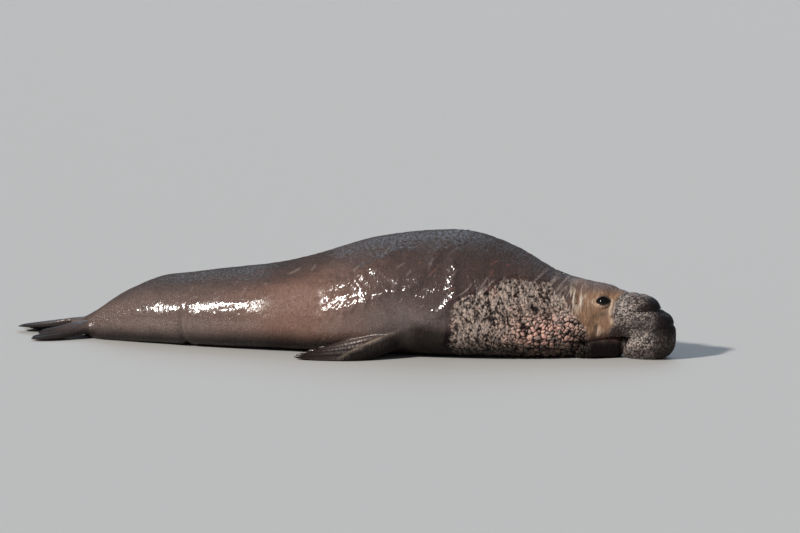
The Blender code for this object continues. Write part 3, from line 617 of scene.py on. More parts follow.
def webbed(across, web_dip, edge_rounding):
    """How far the webs and the rounded outer edges fall short of the digits' tips."""
    webs = web_dip * (1 - np.cos(math.pi * DIGITS * across)) / 2
    return webs + edge_rounding * (1 - (1 - np.abs(across) ** 2.5) ** 0.4)


def fore_length(across):
    slant = 1 - (1 - FORE_LEAST_LENGTH) * ((1 + across) / 2) ** 1.6
    return slant - webbed(across, FORE_WEB_DIP, FORE_EDGE_ROUNDING)


def hind_length(across):
    lobes = 1 - HIND_NOTCH * hump(across, 0.0, HIND_NOTCH_HALF_WIDTH)
    return lobes - webbed(across, HIND_WEB_DIP, HIND_EDGE_ROUNDING)


def hind_stations(share):
    """Hind flipper stations, with the length behind the root taken as this share."""
    stations = HIND_FLIPPER.copy()
    stations[:, 0] = HIND_ROOT_X + (stations[:, 0] - HIND_ROOT_X) * share
    stations[:, 3] = stations[:, 3] * (0.6 + 0.4 * share)
    stations[:, 1] = stations[:, 1] * (0.85 + 0.15 * share)
    return stations


def eye_frame(side):
    middle = Vector(posed(np.array(EYE_AT) * (1, side, 1)))
    look = Vector((EYE_LOOK[0], EYE_LOOK[1] * side, EYE_LOOK[2])).normalized()
    forward = Vector((1, 0, 0.10))
    forward = (forward - look * forward.dot(look)).normalized()
    upward = look.cross(forward) * side
    if upward.z < 0:
        upward = -upward
    return middle, look, forward, upward


def almond(grow=0.0):
    """Points of the opening between the lids, as (forward, upward) from the eye's middle."""
    outline = []
    for step in range(LID_POINTS):
        turn = 2 * math.pi * step / LID_POINTS
        reach = math.cos(turn) * (LID_LENGTH / 2 + grow)
        lift = math.sin(turn) * (LID_OPENING / 2 + grow) * (1 - 0.25 * math.cos(turn) ** 2)
        outline.append((reach, lift))
    return outline


def hide_places():
    """Where the rings of the hide lie along it, closer together towards the head."""
    known = station_places(HIDE)
    first = [0, NECK_FROM_STATION, HEAD_FROM_STATION, PROBOSCIS_FROM_STATION]
    last = first[1:] + [-1]
    counts = (TRUNK_RINGS, NECK_RINGS, HEAD_RINGS, PROBOSCIS_RINGS)
    runs = []
    for start, end, count in zip(first, last, counts):
        runs.append(np.linspace(known[start], known[end], count, endpoint=end == -1))
    return np.concatenate(runs)


def hide_rings(places, around):
    rings = rings_from(HIDE, places, around)
    relief = neck_fold_relief(rings) + flank_fold_relief(rings) + shoulder_fold_relief(rings)
    for crease in CREASES:
        relief = relief + crease_relief(rings, crease)
    for swelling in SWELLINGS:
        relief = relief + swelling_relief(rings, swelling)
    return rings + normals_of(rings) * (relief - COAT_DEPTH)[..., None]


def unposed(points):
    """The points as they were before the head and hind end were swung aside."""
    moved = np.array(points, dtype=float)
    moved[..., 1] = moved[..., 1] - (posed(moved)[..., 1] - moved[..., 1])
    return moved


def placed(name, data):
    """A new object of the scene that holds this mesh, lamp or camera."""
    made = bpy.data.objects.new(name, data)
    bpy.context.scene.collection.objects.link(made)
    return made


def mesh_object(name, points, triangles, patch=None):
    """A mesh of triangles; patch gives each corner its place on the map of the skin."""
    mesh = bpy.data.meshes.new(name)
    corners = np.asarray(triangles, dtype=np.int32).reshape(-1, 3)
    mesh.vertices.add(len(points))
    mesh.vertices.foreach_set("co", np.asarray(points, dtype=np.float32).ravel())
    mesh.loops.add(corners.size)
    mesh.loops.foreach_set("vertex_index", corners.ravel())
    mesh.polygons.add(len(corners))
    mesh.polygons.foreach_set("loop_start", np.arange(0, corners.size, 3, dtype=np.int32))
    mesh.update(calc_edges=True)
    if patch is not None:
        layer = mesh.uv_layers.new(name="OFBake")
        layer.uv.foreach_set("vector", np.asarray(patch, dtype=np.float32).ravel())
    return placed(name, mesh)


def walls(rings, around, first=0, closed=False):
    """Triangles between neighbouring rings of points that are numbered from first on."""
    triangles = []
    for ring in range(rings if closed else rings - 1):
        here, ahead = first + ring * around, first + (ring + 1) % rings * around
        for step in range(around):
            after = (step + 1) % around
            triangles.append((here + step, here + after, ahead + after))
            triangles.append((here + step, ahead + after, ahead + step))
    return triangles


def volume_of(points, triangles):
    a, b, c = (points[triangles[:, k]] for k in range(3))
    return np.einsum("ij,ij->i", a, np.cross(b, c)).sum() / 6


def closed_loft(name, rings, patch_low, patch_high):
    """A closed surface through the rings, mapped onto a box of the skin's map."""
    count, around = rings.shape[:2]
    ring, step = np.meshgrid(np.arange(count - 1), np.arange(around), indexing="ij")
    after = (step + 1) % around
    a = ring * around + step
    b = ring * around + after
    c = b + around
    d = a + around
    pole = count * around
    spin = np.arange(around)
    first = np.stack((np.full(around, pole), (spin + 1) % around, spin), axis=-1)
    base = (count - 1) * around
    last = np.stack((np.full(around, pole + 1), base + spin, base + (spin + 1) % around), axis=-1)
    triangles = np.concatenate(
        (
            np.stack((a, b, c), axis=-1).reshape(-1, 3),
            np.stack((a, c, d), axis=-1).reshape(-1, 3),
            first,
            last,
        )
    )
    u, u_next = ring / (count - 1), (ring + 1) / (count - 1)
    v, v_next = step / around, (step + 1) / around
    turn, turn_next = spin / around, (spin + 1) / around
    zero, one = np.zeros(around), np.ones(around)

    def corner_maps(*pairs):
        return np.stack([np.stack(pair, axis=-1) for pair in pairs], axis=-2).reshape(-1, 2)

    share = np.concatenate(
        (
            corner_maps((u, v), (u, v_next), (u_next, v_next)),
            corner_maps((u, v), (u_next, v_next), (u_next, v)),
            corner_maps((zero, turn), (zero, turn_next), (zero, turn)),
            corner_maps((one, turn), (one, turn), (one, turn_next)),
        )
    )
    low, high = np.array(patch_low), np.array(patch_high)
    patch = low + (high - low) * share
    poles = np.array((rings[0].mean(axis=0), rings[-1].mean(axis=0)))
    points = on_floor(posed(np.vstack((rings.reshape(-1, 3), poles))))
    if volume_of(points, triangles) < 0:
        triangles = triangles[:, ::-1]
        patch = patch.reshape(-1, 3, 2)[:, ::-1].reshape(-1, 2)
    return mesh_object(name, points, triangles, patch)


def station_loft(name, stations, ring_count, around, patch_low, patch_high):
    places = np.linspace(0.0, station_places(stations)[-1], ring_count)
    rings = rings_from(stations, places, around)
    rings = rings - normals_of(rings) * COAT_DEPTH
    return closed_loft(name, rings, patch_low, patch_high)


def joined(item, operation, others):
    """One Boolean with several closed meshes, applied, and its operands removed."""
    operands = bpy.data.collections.new("operands")
    bpy.context.scene.collection.children.link(operands)
    for other in others:
        bpy.context.scene.collection.objects.unlink(other)
        operands.objects.link(other)
    step = item.modifiers.new(operation, "BOOLEAN")
    step.operation = operation
    step.operand_type = "COLLECTION"
    step.collection = operands
    step.solver = "MANIFOLD"
    bpy.context.view_layer.update()
    graph = bpy.context.evaluated_depsgraph_get()
    mesh = bpy.data.meshes.new_from_object(item.evaluated_get(graph))
    item.modifiers.clear()
    item.data = mesh
    for other in others:
        bpy.data.objects.remove(other, do_unlink=True)
    bpy.data.collections.remove(operands)


def read(items, field, width, kind=np.float32):
    """One field of all the items as rows of this width."""
    flat = np.empty(len(items) * width, dtype=kind)
    items.foreach_get(field, flat)
    return flat.reshape(-1, width)


def points_of(item):
    return read(item.data.vertices, "co", 3).astype(float)


def normals_at(item):
    return read(item.data.vertex_normals, "vector", 3).astype(float)


def set_points(item, points):
    item.data.vertices.foreach_set("co", np.asarray(points, dtype=np.float32).ravel())
    item.data.update()


def edges_of(item):
    return read(item.data.edges, "vertices", 2, np.int32)


def spread_from(seeds, edges, steps):
    """How near each point is to the seeds along the mesh, from 1 at a seed down to 0."""
    near = np.where(seeds, 1.0, 0.0)
    for _ in range(steps):
        passed = near - 1.0 / steps
        np.maximum.at(near, edges[:, 0], passed[edges[:, 1]])
        np.maximum.at(near, edges[:, 1], passed[edges[:, 0]])
    return np.clip(near, 0.0, 1.0)


def smoothed(points, edges, weight, rounds):
    """Points drawn towards the middle of their neighbours where the weight is above zero."""
    used = (weight[edges[:, 0]] > 0) | (weight[edges[:, 1]] > 0)
    a, b = edges[used, 0], edges[used, 1]
    count = np.bincount(a, minlength=len(points)) + np.bincount(b, minlength=len(points))
    count = np.maximum(count, 1)
    for _ in range(rounds):
        middle = np.empty_like(points)
        for axis in range(3):
            total = np.bincount(a, points[b, axis], len(points))
            total = total + np.bincount(b, points[a, axis], len(points))
            middle[:, axis] = total / count
        points = points + (middle - points) * (0.6 * weight)[:, None]
    return points


def lattice_hash(cell, seed):
    """A repeatable number from 0 to 1 for each whole-number cell."""
    mixed = cell[..., 0] * 374761393 + cell[..., 1] * 668265263 + cell[..., 2] * 1440662683
    mixed = mixed + seed * 974634777
    mixed = (mixed ^ (mixed >> 13)) * 1274126177
    mixed = (mixed ^ (mixed >> 16)) * 1911520717
    return ((mixed >> 8) & 0xFFFFFF) / 0xFFFFFF


def noise(points, size, seed):
    """Smooth noise from -1 to 1 whose lumps are about this size; size may differ by axis."""
    scaled = points / np.asarray(size)
    corner = np.floor(scaled).astype(np.int64)
    share = scaled - corner
    share = share * share * (3 - 2 * share)
    total = np.zeros(points.shape[:-1])
    for offset in np.ndindex(2, 2, 2):
        sides = np.where(np.array(offset) == 1, share, 1 - share)
        total = total + sides.prod(axis=-1) * lattice_hash(corner + np.array(offset), seed)
    return total * 2 - 1


def layered_noise(points, size, seed, layers=3):
    total, weight = 0.0, 0.0
    for layer in range(layers):
        strength = 0.55**layer
        total = total + strength * noise(points, np.asarray(size) / 2**layer, seed + 17 * layer)
        weight = weight + strength
    return total / weight


def cells(points, size, seed):
    """For cobbles: distance to a cell's middle, the further one's lead, a number per cell."""
    scaled = points / np.asarray(size)
    home = np.floor(scaled).astype(np.int64)
    nearest = np.full(len(points), 9.0)
    second = np.full(len(points), 9.0)
    name = np.zeros(len(points))
    for offset in np.ndindex(3, 3, 3):
        cell = home + np.array(offset) - 1
        jitter = np.stack([lattice_hash(cell, seed + k) for k in range(3)], axis=-1)
        distance = np.linalg.norm(scaled - cell - jitter, axis=-1)
        closer = distance < nearest
        second = np.where(closer, nearest, np.minimum(second, distance))
        name = np.where(closer, lattice_hash(cell, seed + 3), name)
        nearest = np.minimum(nearest, distance)
    return nearest, second - nearest, name


def blend(colour, other, weight):
    weight = np.clip(weight, 0.0, 1.0)[:, None]
    return colour * (1 - weight) + other * weight


def painted(colour, coats):
    """The colour with coats of paint over it, each a tone and how much of it lies where."""
    for paint, weight in coats:
        colour = blend(colour, paint, weight)
    return colour


def spot(points, patch):
    """How deep in a soft round patch each point lies, 0 to 1."""
    x, z, reach_x, reach_z = patch
    off = ((points[:, 0] - x) / reach_x) ** 2 + ((points[:, 2] - z) / reach_z) ** 2
    return np.exp(-off)


def shield_mask(points):
    """Where the thick cobbled skin of the chest and throat lies, 0 to 1."""
    ragged = 0.030 * layered_noise(points, 0.09, 5)
    top = np.interp(points[:, 0], *zip(*SHIELD_TOP)) + ragged
    low_front = SHIELD_FRONT_X + 0.10 * (0.25 - points[:, 2]) + ragged
    inside = ramp(top - points[:, 2], -0.012, 0.035)
    inside = inside * ramp(points[:, 0] + ragged, SHIELD_REAR_X - 0.05, SHIELD_REAR_X + 0.05)
    return inside * (1 - ramp(points[:, 0], low_front - 0.02, low_front + 0.02))


def proboscis_mask(points):
    edge = np.interp(points[:, 2], PROBOSCIS_EDGE_Z, PROBOSCIS_EDGE_X)
    ragged = 0.010 * layered_noise(points, 0.03, 9)
    return ramp(points[:, 0] + ragged, edge - 0.008, edge + 0.022)


def eye_ring(points, side):
    """How far a posed point lies from the eye's opening: 1 on the lid's edge, 2 twice as far."""
    middle, look, forward, upward = eye_frame(side)
    off = points - np.array(middle)
    reach = off @ np.array(forward) / (LID_LENGTH / 2)
    lift = off @ np.array(upward) / (LID_OPENING / 2)
    out = off @ np.array(look)
    ring = np.sqrt(reach**2 + (lift * (1 + 0.30 * np.clip(np.abs(reach), 0, 1.5) ** 2)) ** 2)
    return np.where(out > 0, ring, 9.0), reach, lift


def scar_lines(points, count, low, high, length, lean, seed):
    """Thin straight scars: how deep in one each point lies, 0 to 1."""
    draw = np.random.default_rng(seed)
    found = np.zeros(len(points))
    for _ in range(count):
        x = draw.uniform(low[0], high[0])
        z = draw.uniform(low[1], high[1])
        side = draw.choice((-1.0, 1.0))
        reach = draw.uniform(*length) / 2
        turn = draw.uniform(*lean)
        width = draw.uniform(0.0022, 0.0042)
        bow = draw.uniform(-0.25, 0.25)
        off_x, off_z = points[:, 0] - x, points[:, 2] - z
        along = off_x * math.cos(turn) + off_z * math.sin(turn)
        across = off_z * math.cos(turn) - off_x * math.sin(turn) + bow * along**2 / reach
        fade = 1 - ramp(np.abs(along), reach * 0.6, reach)
        mark = np.exp(-((across / width) ** 2)) * fade * (points[:, 1] * side > 0)
        found = np.maximum(found, mark)
    return found


def warped(points, by, size, seed):
    """The points pushed about at random, by this much, in lumps of this size."""
    shift = [layered_noise(points, size, seed + k, 2) for k in range(3)]
    return points + by * np.stack(shift, axis=-1)


def plates(points, size, seed):
    """Rounded plates with narrow grooves: height from 0 to 1, and a number per plate."""
    off, lead, name = cells(points, size, seed)
    groove = 0.38 + 0.30 * layered_noise(points, 0.045, seed + 3, 2)
    edge = np.clip(lead / np.maximum(groove, 0.12), 0.0, 1.0)
    top = (1 - (1 - edge) ** 2) * (1 - 0.35 * np.clip(off, 0.0, 1.0) ** 2)
    return top * (0.70 + 0.30 * name), name


def shield_cobbles(points):
    """Relief of the shield in metres, the cobbles' height from 0 up, and a number per cobble."""
    part = warped(warped(points, 0.014, 0.06, 21), 0.005, 0.018, 25)
    wander = layered_noise(part, 0.10, 45, 2)
    knobby = ramp(part[:, 0] + 0.08 * wander, 1.06, 1.26)
    knobby = knobby * (1 - ramp(part[:, 2] + 0.08 * wander, 0.22, 0.40))
    knob, knob_name = plates(part, KNOB_SIZE, 31)
    small, small_name = plates(part, COBBLE_SIZE, 37)
    leaned = part + part[:, 2:] * (0.4, 0.0, 0.0)
    stroke = np.clip(0.5 + 1.5 * layered_noise(leaned, (0.008, 0.02, 0.019), 43, 2), 0.0, 1.0)
    level = 0.5 + 0.5 * layered_noise(part, 0.07, 39, 2)
    height = (1 - knobby) * (0.5 * small + 0.5 * stroke) + knobby * (0.85 * knob + 0.15 * small)
    height = height * (0.72 + 0.35 * level)
    lean = part[:, 2] + 0.18 * part[:, 0] + 0.014 * layered_noise(part, 0.14, 41)
    rows = np.abs(np.sin(math.pi * lean / FOLD_ROW))
    fold = np.clip(rows / 0.30, 0.0, 1.0) ** 0.7
    fold = 1 - (1 - fold) * (0.25 + 0.75 * knobby)
    depth = COBBLE_DEPTH * (0.65 + 0.65 * knobby)
    relief = depth * (height - 0.70) + FOLD_ROW_DEPTH * (fold - 1)
    cobble = height * (0.40 + 0.60 * fold) * (1 + 0.35 * knobby)
    return relief, cobble, np.where(knobby > 0.5, knob_name, small_name)


def proboscis_pebbles(points):
    """Relief of the proboscis in metres, the pebbles' height from 0 to 1, a number per pebble."""
    part = warped(points, 0.007, 0.022, 47)
    small, name = plates(part, PEBBLE_SIZE, 51)
    large, _ = plates(part * (1.0, 1.0, 1.35), PEBBLE_SIZE * 2.8, 55)
    level = 0.5 + 0.5 * layered_noise(part, 0.04, 59, 2)
    stipple = np.clip(0.5 + 1.2 * noise(points, 0.0065, 60), 0.0, 1.0)
    height = 0.40 * small * (0.35 + 0.65 * level) + 0.25 * large + 0.35 * stipple
    waves = 0.0030 * layered_noise(part, (0.030, 0.05, 0.05), 57)
    return PEBBLE_DEPTH * (height - 0.8) + waves, height, name


def proboscis_ridge(points, half_width):
    """The raised edge where the proboscis starts, 0 to 1."""
    ridge_x = np.interp(points[:, 2], PROBOSCIS_EDGE_Z, PROBOSCIS_EDGE_X)
    return hump(points[:, 0], ridge_x - 0.004, half_width)


def smooth_hide_relief(points, shield, rough):
    """Muscle, wrinkles and hollows of the hide between the rough parts, in metres outwards."""
    smooth = 1 - np.maximum(shield, rough)
    body = smooth * (1 - ramp(points[:, 0], 1.42, 1.55))
    face = smooth * (1 - body)
    creased = np.zeros(len(points))
    for line, half_width, _ in SHOULDER_FOLDS:
        off, _ = line_distance(points[:, 0], points[:, 2], line)
        creased = np.maximum(creased, hump(off, 0.0, 1.6 * half_width))
    lumps = (
        (0.0050, body, (0.22, 0.12, 0.12), 61, 3),
        (0.0040, body * spot(points, SHOULDER_WRINKLES), (0.030, 0.055, 0.050), 67, 2),
        (0.0011, body, 0.022, 71, 2),
        (0.0075, body * creased, (0.022, 0.040, 0.034), 69, 2),
        (0.0022, face, (0.020, 0.035, 0.035), 73, 2),
        (0.0034, spot(points, NECK_CREASES), (0.010, 0.06, 0.06), 111, 2),
    )
    relief = 0.0050 * arm_edge(points)[1] - 0.0090 * spot(points, UNDER_EYE_HOLLOW) * face
    for height, where, size, seed, layers in lumps:
        relief = relief + height * where * layered_noise(points, size, seed, layers)
    return relief


def skin_relief(points):
    """Fine relief of the hide in metres outwards, and what the markings need to know of it."""
    shield, rough = shield_mask(points), proboscis_mask(points)
    relief = smooth_hide_relief(points, shield, rough)
    cobble = np.ones(len(points))
    cell_name = np.full(len(points), 0.5)
    on = shield > 0.001
    raised, cobble[on], cell_name[on] = shield_cobbles(points[on])
    relief[on] += shield[on] * raised
    on = rough > 0.001
    raised, height, name = proboscis_pebbles(points[on])
    relief[on] += rough[on] * raised
    cobble[on] = np.minimum(cobble[on], 1 - rough[on] * (1 - height))
    cell_name[on] = np.where(rough[on] > 0.5, name, cell_name[on])
    relief += 0.0045 * proboscis_ridge(points, 0.010) * band(points[:, 2], 0.19, 0.23, 0.36, 0.42)
    return relief, cobble, cell_name, shield, rough


def arm_edge(points):
    """Where painted shade lies on the fore flipper under its leading edge, and the edge itself,
    raised as relief and given a painted highlight, 0 to 1.
    """
    rise = (ARM_EDGE_TOP[1] - ARM_EDGE_LOW[1]) / (ARM_EDGE_TOP[0] - ARM_EDGE_LOW[0])
    over = points[:, 2] - ARM_EDGE_LOW[1] - rise * (points[:, 0] - ARM_EDGE_LOW[0])
    over = over + 0.010 * layered_noise(points, 0.09, 117, 2)
    along = band(points[:, 0], 0.10, 0.20, 0.44, 0.56) * ramp(np.abs(points[:, 1]), 0.40, 0.46)
    under = along * (1 - ramp(over, -0.030, -0.008))
    return under, along * hump(over, 0.0, 0.009)


def trunk_colour(points, broad, mottle, up):
    """Colour of the body with painted shade low down and in the pocket behind the arm, and where
    that shade lies.
    """
    x, z = points[:, 0], points[:, 2]
    shade_top = np.interp(x, SHADE_TOP_X, SHADE_TOP_Z)
    # Painted shade low down on the body, up to the heights above
    low = 1 - ramp(z + 0.03 * broad, 0.25 * shade_top, shade_top)
    under_arm_shade, arm_ridge_highlight = arm_edge(points)
    # Painted shade in the pocket behind the fore flipper and under its leading edge
    shaded_pocket = ramp(x, 0.50, 0.60) * (1 - ramp(x + 0.03 * broad, 0.78, 0.96))
    shaded_pocket = shaded_pocket * (1 - ramp(z - 0.10 * (0.7 - x) + 0.03 * broad, 0.17, 0.26))
    shaded_pocket = np.maximum(shaded_pocket, under_arm_shade)
    coats = (
        (REAR, 1 - ramp(x, -1.0, -0.4)),
        (BODY_RED, 0.9 * spot(points, FLANK_PATCH)),
        (SHOULDER, 0.9 * band(x, 0.05, 0.55, 1.05, 1.30)),
        (NECK, ramp(x, 1.05, 1.35)),
        (ARM, 0.75 * spot(points, ARM_PATCH)),
        (BACK, ramp(up, 0.60, 1.0) * (1 - ramp(x, 1.3, 1.6))),
        # Painted shade over the underside
        (UNDERSIDE_SHADE, 0.92 * low * (1 - ramp(x, 1.5, 1.7))),
        # Painted shade in the pocket behind the arm
        (DEEP_SHADE, 0.96 * shaded_pocket),
        # A painted highlight along the leading edge of the fore flipper
        (PALE_SKIN_AND_HIGHLIGHT, 0.35 * arm_ridge_highlight * ramp(mottle, -0.5, 0.2)),
    )
    return painted(np.tile(BODY, (len(points), 1)), coats), low, shaded_pocket


def face_coats(points, broad, mottle):
    """Coats of paint for the tan cheek, the brow and painted shade over the jaw, and where cheek
    and jaw lie.
    """
    x, z = points[:, 0], points[:, 2]
    cheek = ramp(x + 0.035 * mottle + 0.015 * broad, 1.47, 1.585)
    # The jaw below the mouth, which gets painted shade
    jaw = cheek * (1 - ramp(z + 0.02 * mottle, 0.08, 0.15))
    tan = CHEEK * (1 + 0.22 * mottle + 0.15 * broad)[:, None]
    ochre = ramp(layered_noise(points, 0.045, 115, 2), 0.0, 0.45)
    coats = (
        (tan, cheek * ramp(z + 0.02 * mottle, 0.10, 0.19)),
        (OLIVE, 0.8 * spot(points, UNDER_EYE) * ramp(mottle, -0.8, 0.0)),
        (CHEEK_DARK, 0.7 * spot(points, FORE_CHEEK) * ramp(mottle, -0.6, 0.1)),
        (CHEEK_DARK, 0.40 * ochre * cheek),
        (BROW, cheek * ramp(z + 0.02 * mottle, 0.38, 0.44)),
        # Painted shade over the lower jaw
        (DEEP_SHADE, 0.95 * jaw),
    )
    return coats, cheek, jaw


def shield_colour(points, broad, mottle, cobble, cell_name):
    """Pale and pink cobbles with painted shade in the grooves between them, and painted shade near
    the floor and beside the jaw.
    """
    x, z = points[:, 0], points[:, 2]
    pink = spot(points, PINK_KNOBS) * ramp(cell_name + 0.8 * broad, 0.0, 0.5)
    pink = np.maximum(pink, 0.4 * ramp(layered_noise(points, 0.08, 113), 0.25, 0.6))
    stone = SHIELD_TONE * (0.80 + 0.34 * cell_name + 0.20 * mottle)[:, None]
    stone = blend(stone, SHIELD_PINK, pink)
    # Painted shade in the grooves between the cobbles
    stone = blend(stone, GROOVE_SHADE, 1 - ramp(cobble, 0.28, 0.72))
    # Painted shade near the floor and beside the jaw
    lower = 1 - ramp(z + 0.02 * broad, 0.03, 0.19)
    dull = ramp(x, 1.47, 1.56) * (1 - ramp(z, 0.28, 0.34))
    shade_beside_jaw = ramp(x + 0.04 * broad, 1.42, 1.58) * (1 - ramp(z, 0.10, 0.22))
    return stone * ((1 - 0.85 * lower) * (1 - 0.20 * dull) * (1 - 0.75 * shade_beside_jaw))[:, None]


def proboscis_colour(points, broad, mottle, cobble, cell_name):
    """Stippled grey-brown skin with painted highlights on the lobes and painted shade on the fronts
    of the lobes and the tip, in a hollow of the lobes, in the grooves between pebbles and near the
    floor; and where the shaded fronts lie.
    """
    x, z = points[:, 0], points[:, 2]
    # Painted shade on the fronts of the tip and of the upper lobe
    tip_front_shade = ramp(x + 0.03 * broad + 0.02 * mottle, 1.96, 2.03)
    tip_front_shade = tip_front_shade * (0.65 + 0.35 * ramp(z, 0.13, 0.18))
    ragged = 0.02 * mottle + 0.01 * broad
    lobe_front_shade = ramp(x - 0.9 * (z - 0.31) + ragged, 1.865, 1.925) * ramp(z, 0.300, 0.312)
    shaded_front = np.maximum(tip_front_shade, lobe_front_shade)
    snout = PROBOSCIS_TONE * (0.80 + 0.45 * cell_name + 0.25 * mottle)[:, None]
    # Painted highlights on the lit parts of the lobes
    for share, patch in PROBOSCIS_HIGHLIGHTS:
        snout = blend(snout, PROBOSCIS_HIGHLIGHT, share * spot(points, patch))
    # Painted shade in the hollow of the lobes and on the tip's front
    hollow_shade = np.maximum(0.75 * spot(points, LOBE_HOLLOW_SHADE), 0.5 * tip_front_shade)
    snout = painted(snout, ((SHADE_TONE, hollow_shade), (FRONT_SHADE, 0.92 * shaded_front)))
    # Painted shade near the floor
    snout = snout * (1 - 0.45 * (1 - ramp(z, 0.04, 0.10)))[:, None]
    # Painted shade in the grooves between the pebbles
    return blend(snout, SHADE_TONE, 0.95 * (1 - ramp(cobble, 0.28, 0.66))), shaded_front


def skin_colour_and_painted_light(points, normals, facts):
    """Colour of the hide with its painted shade and highlights, and how wet it is, for the skin and
    for the tufts on it.
    """
    cobble, cell_name, shield, rough = facts
    x, z, up = points[:, 0], points[:, 2], normals[:, 2]
    broad = layered_noise(points, 0.30, 81)
    mottle = layered_noise(points, (0.05, 0.03, 0.03), 83)
    grain = layered_noise(points, (0.016, 0.007, 0.007), 87, 2)
    streak = ramp(layered_noise(points, (0.010, 0.06, 0.06), 111, 2), -0.15, 0.20)
    trunk, low, shaded_pocket = trunk_colour(points, broad, mottle, up)
    face, cheek, jaw = face_coats(points, broad, mottle)
    stone = shield_colour(points, broad, mottle, cobble, cell_name)
    snout, shaded_front = proboscis_colour(points, broad, mottle, cobble, cell_name)
    # A painted highlight along the raised edge where the proboscis starts
    edge_ridge_highlight = proboscis_ridge(points, 0.011) * band(z, 0.20, 0.23, 0.33, 0.38)
    coats = (
        (stone, 0.97 * ramp(shield - 0.75 * (1 - cobble), -0.05, 0.30)),
        # Painted highlights in streaks along the neck's wet wrinkles
        (FOLD_HIGHLIGHT, spot(points, FOLD_HIGHLIGHTS) * streak),
        (snout, rough),
        (PALE_SKIN_AND_HIGHLIGHT, 0.75 * edge_ridge_highlight * ramp(mottle, -0.45, 0.05)),
        (PAD, 0.9 * spot(points, WHISKER_PAD)),
        (PALE_SKIN_AND_HIGHLIGHT, 0.6 * spot(points, MOUTH_CORNER) * ramp(mottle, -0.3, 0.3)),
        (MOUTH_LINE, 0.8 * hump(z, 0.128, 0.008) * band(x, 1.64, 1.68, 1.79, 1.82)),
    )
    colour = painted(trunk, face + coats)
    colour = colour * ((1 + 0.10 * mottle + 0.07 * broad) * (1 + 0.10 * grain))[:, None]

    patchy = x + 0.10 * mottle + 0.08 * broad
    wet = 1 - 0.60 * shield - 0.50 * rough - 0.40 * cheek * (1 - rough)
    for dried in (
        0.85 * band(patchy, -0.52, -0.32, -0.06, 0.04),
        0.45 * ramp(up, 0.55, 0.85),
        0.5 * ramp(x, 0.85, 1.0),
        shaded_pocket,
        0.8 * low,
        jaw,
        0.9 * rough * shaded_front,
        0.6 * (1 - cobble),
    ):
        wet = wet * (1 - dried)
    return np.clip(colour, 0.0, 1.0), np.clip(wet, 0.0, 1.0)


def ellipsoid(name, middle, half_size, turned=None, around=24):
    mesh = bpy.data.meshes.new(name)
    work = bmesh.new()
    bmesh.ops.create_uvsphere(work, u_segments=around, v_segments=around // 2, radius=1.0)
    bmesh.ops.triangulate(work, faces=work.faces)
    work.to_mesh(mesh)
    work.free()
    size = Matrix.Diagonal((*half_size, 1.0))
    mesh.transform(Matrix.Translation(middle) @ (turned or Matrix()) @ size)
    return placed(name, mesh)


def lid_opening(side):
    """The cutter that opens the almond between the lids."""
    middle, look, forward, upward = eye_frame(side)
    outline = almond()
    inner = [middle + forward * reach + upward * lift for reach, lift in outline]
    points = inner + [place + look * EYE_RADIUS * 2 for place in inner]
    points += [sum(inner, Vector()) / len(inner)]
    points += [points[-1] + look * EYE_RADIUS * 2]
    count = len(outline)
    triangles = []
    for a in range(count):
        b = (a + 1) % count
        triangles += [(a, b, b + count), (a, b + count, a + count)]
        triangles += [(2 * count, b, a), (2 * count + 1, a + count, b + count)]
    return solid_from("lid_opening", points, triangles)


def solid_from(name, points, triangles):
    points, triangles = np.array([tuple(point) for point in points]), np.array(triangles)
    if volume_of(points, triangles) < 0:
        triangles = triangles[:, ::-1]
    return mesh_object(name, points, triangles, np.zeros((triangles.size, 2)))


def lid_roll(side):
    """The soft rounded edge of both lids, lying on the eyeball."""
    middle, look, forward, upward = eye_frame(side)
    spine = []
    for reach, lift in almond(LID_EDGE_RADIUS * 0.4):
        out = math.sqrt((EYE_RADIUS + LID_THICKNESS / 2) ** 2 - reach**2 - lift**2)
        spine.append(middle + forward * reach + upward * lift + look * out)
    points = []
    for step, at in enumerate(spine):
        run = (spine[(step + 1) % LID_POINTS] - spine[step - 1]).normalized()
        outward = (at - middle).normalized()
        across = run.cross(outward).normalized()
        for side_step in range(LID_SIDES):
            turn = 2 * math.pi * side_step / LID_SIDES
            roll = outward * math.cos(turn) + across * math.sin(turn)
            points.append(at + roll * LID_EDGE_RADIUS)
    return solid_from("lid_roll", points, walls(LID_POINTS, LID_SIDES, closed=True))


def lobe_crease():
    """The lens swept round the front of the proboscis that cuts the crease between its lobes."""
    known = station_places(HIDE)
    rings = hide_rings(np.linspace(known[HEAD_FROM_STATION], known[-1], 60), 60)
    count, around = rings.shape[:2]
    corners = [Vector(place) for place in posed(rings).reshape(-1, 3)]
    tree = BVHTree.FromPolygons(corners, walls(count, around))
    x, z = LOBE_CREASE_MIDDLE
    middle = Vector(posed(np.array((x, 0.0, z))))
    path = []
    for turn in np.linspace(-LOBE_CREASE_TURN, LOBE_CREASE_TURN, LOBE_CREASE_POINTS):
        ray = Vector((math.cos(turn), math.sin(turn), 0))
        path.append((tree.ray_cast(middle, ray)[0], ray))
    last = len(path) - 1
    points = [path[0][0]]
    for step, (place, ray) in enumerate(path[1:-1], start=1):
        share = math.sin(math.pi * step / last) ** 0.6
        depth = LOBE_CREASE_DEPTH * share
        half_gap = LOBE_CREASE_HALF_GAP * share
        over = depth * 0.6
        lift = Vector((0, 0, half_gap))
        outside = place + ray * over
        points += [place - ray * depth, outside + lift * 2, outside - lift * 2]
    points.append(path[-1][0])
    triangles = walls(last - 1, 3, first=1)
    end = len(points) - 1
    for corner in range(3):
        triangles.append((0, 1 + (corner + 1) % 3, 1 + corner))
        triangles.append((end, end - 3 + corner, end - 3 + (corner + 1) % 3))
    return solid_from("lobe_crease", points, triangles)


def pit(at, half_size, side):
    return ellipsoid("pit", Vector(posed(np.array(at) * (1, side, 1))), half_size, around=32)


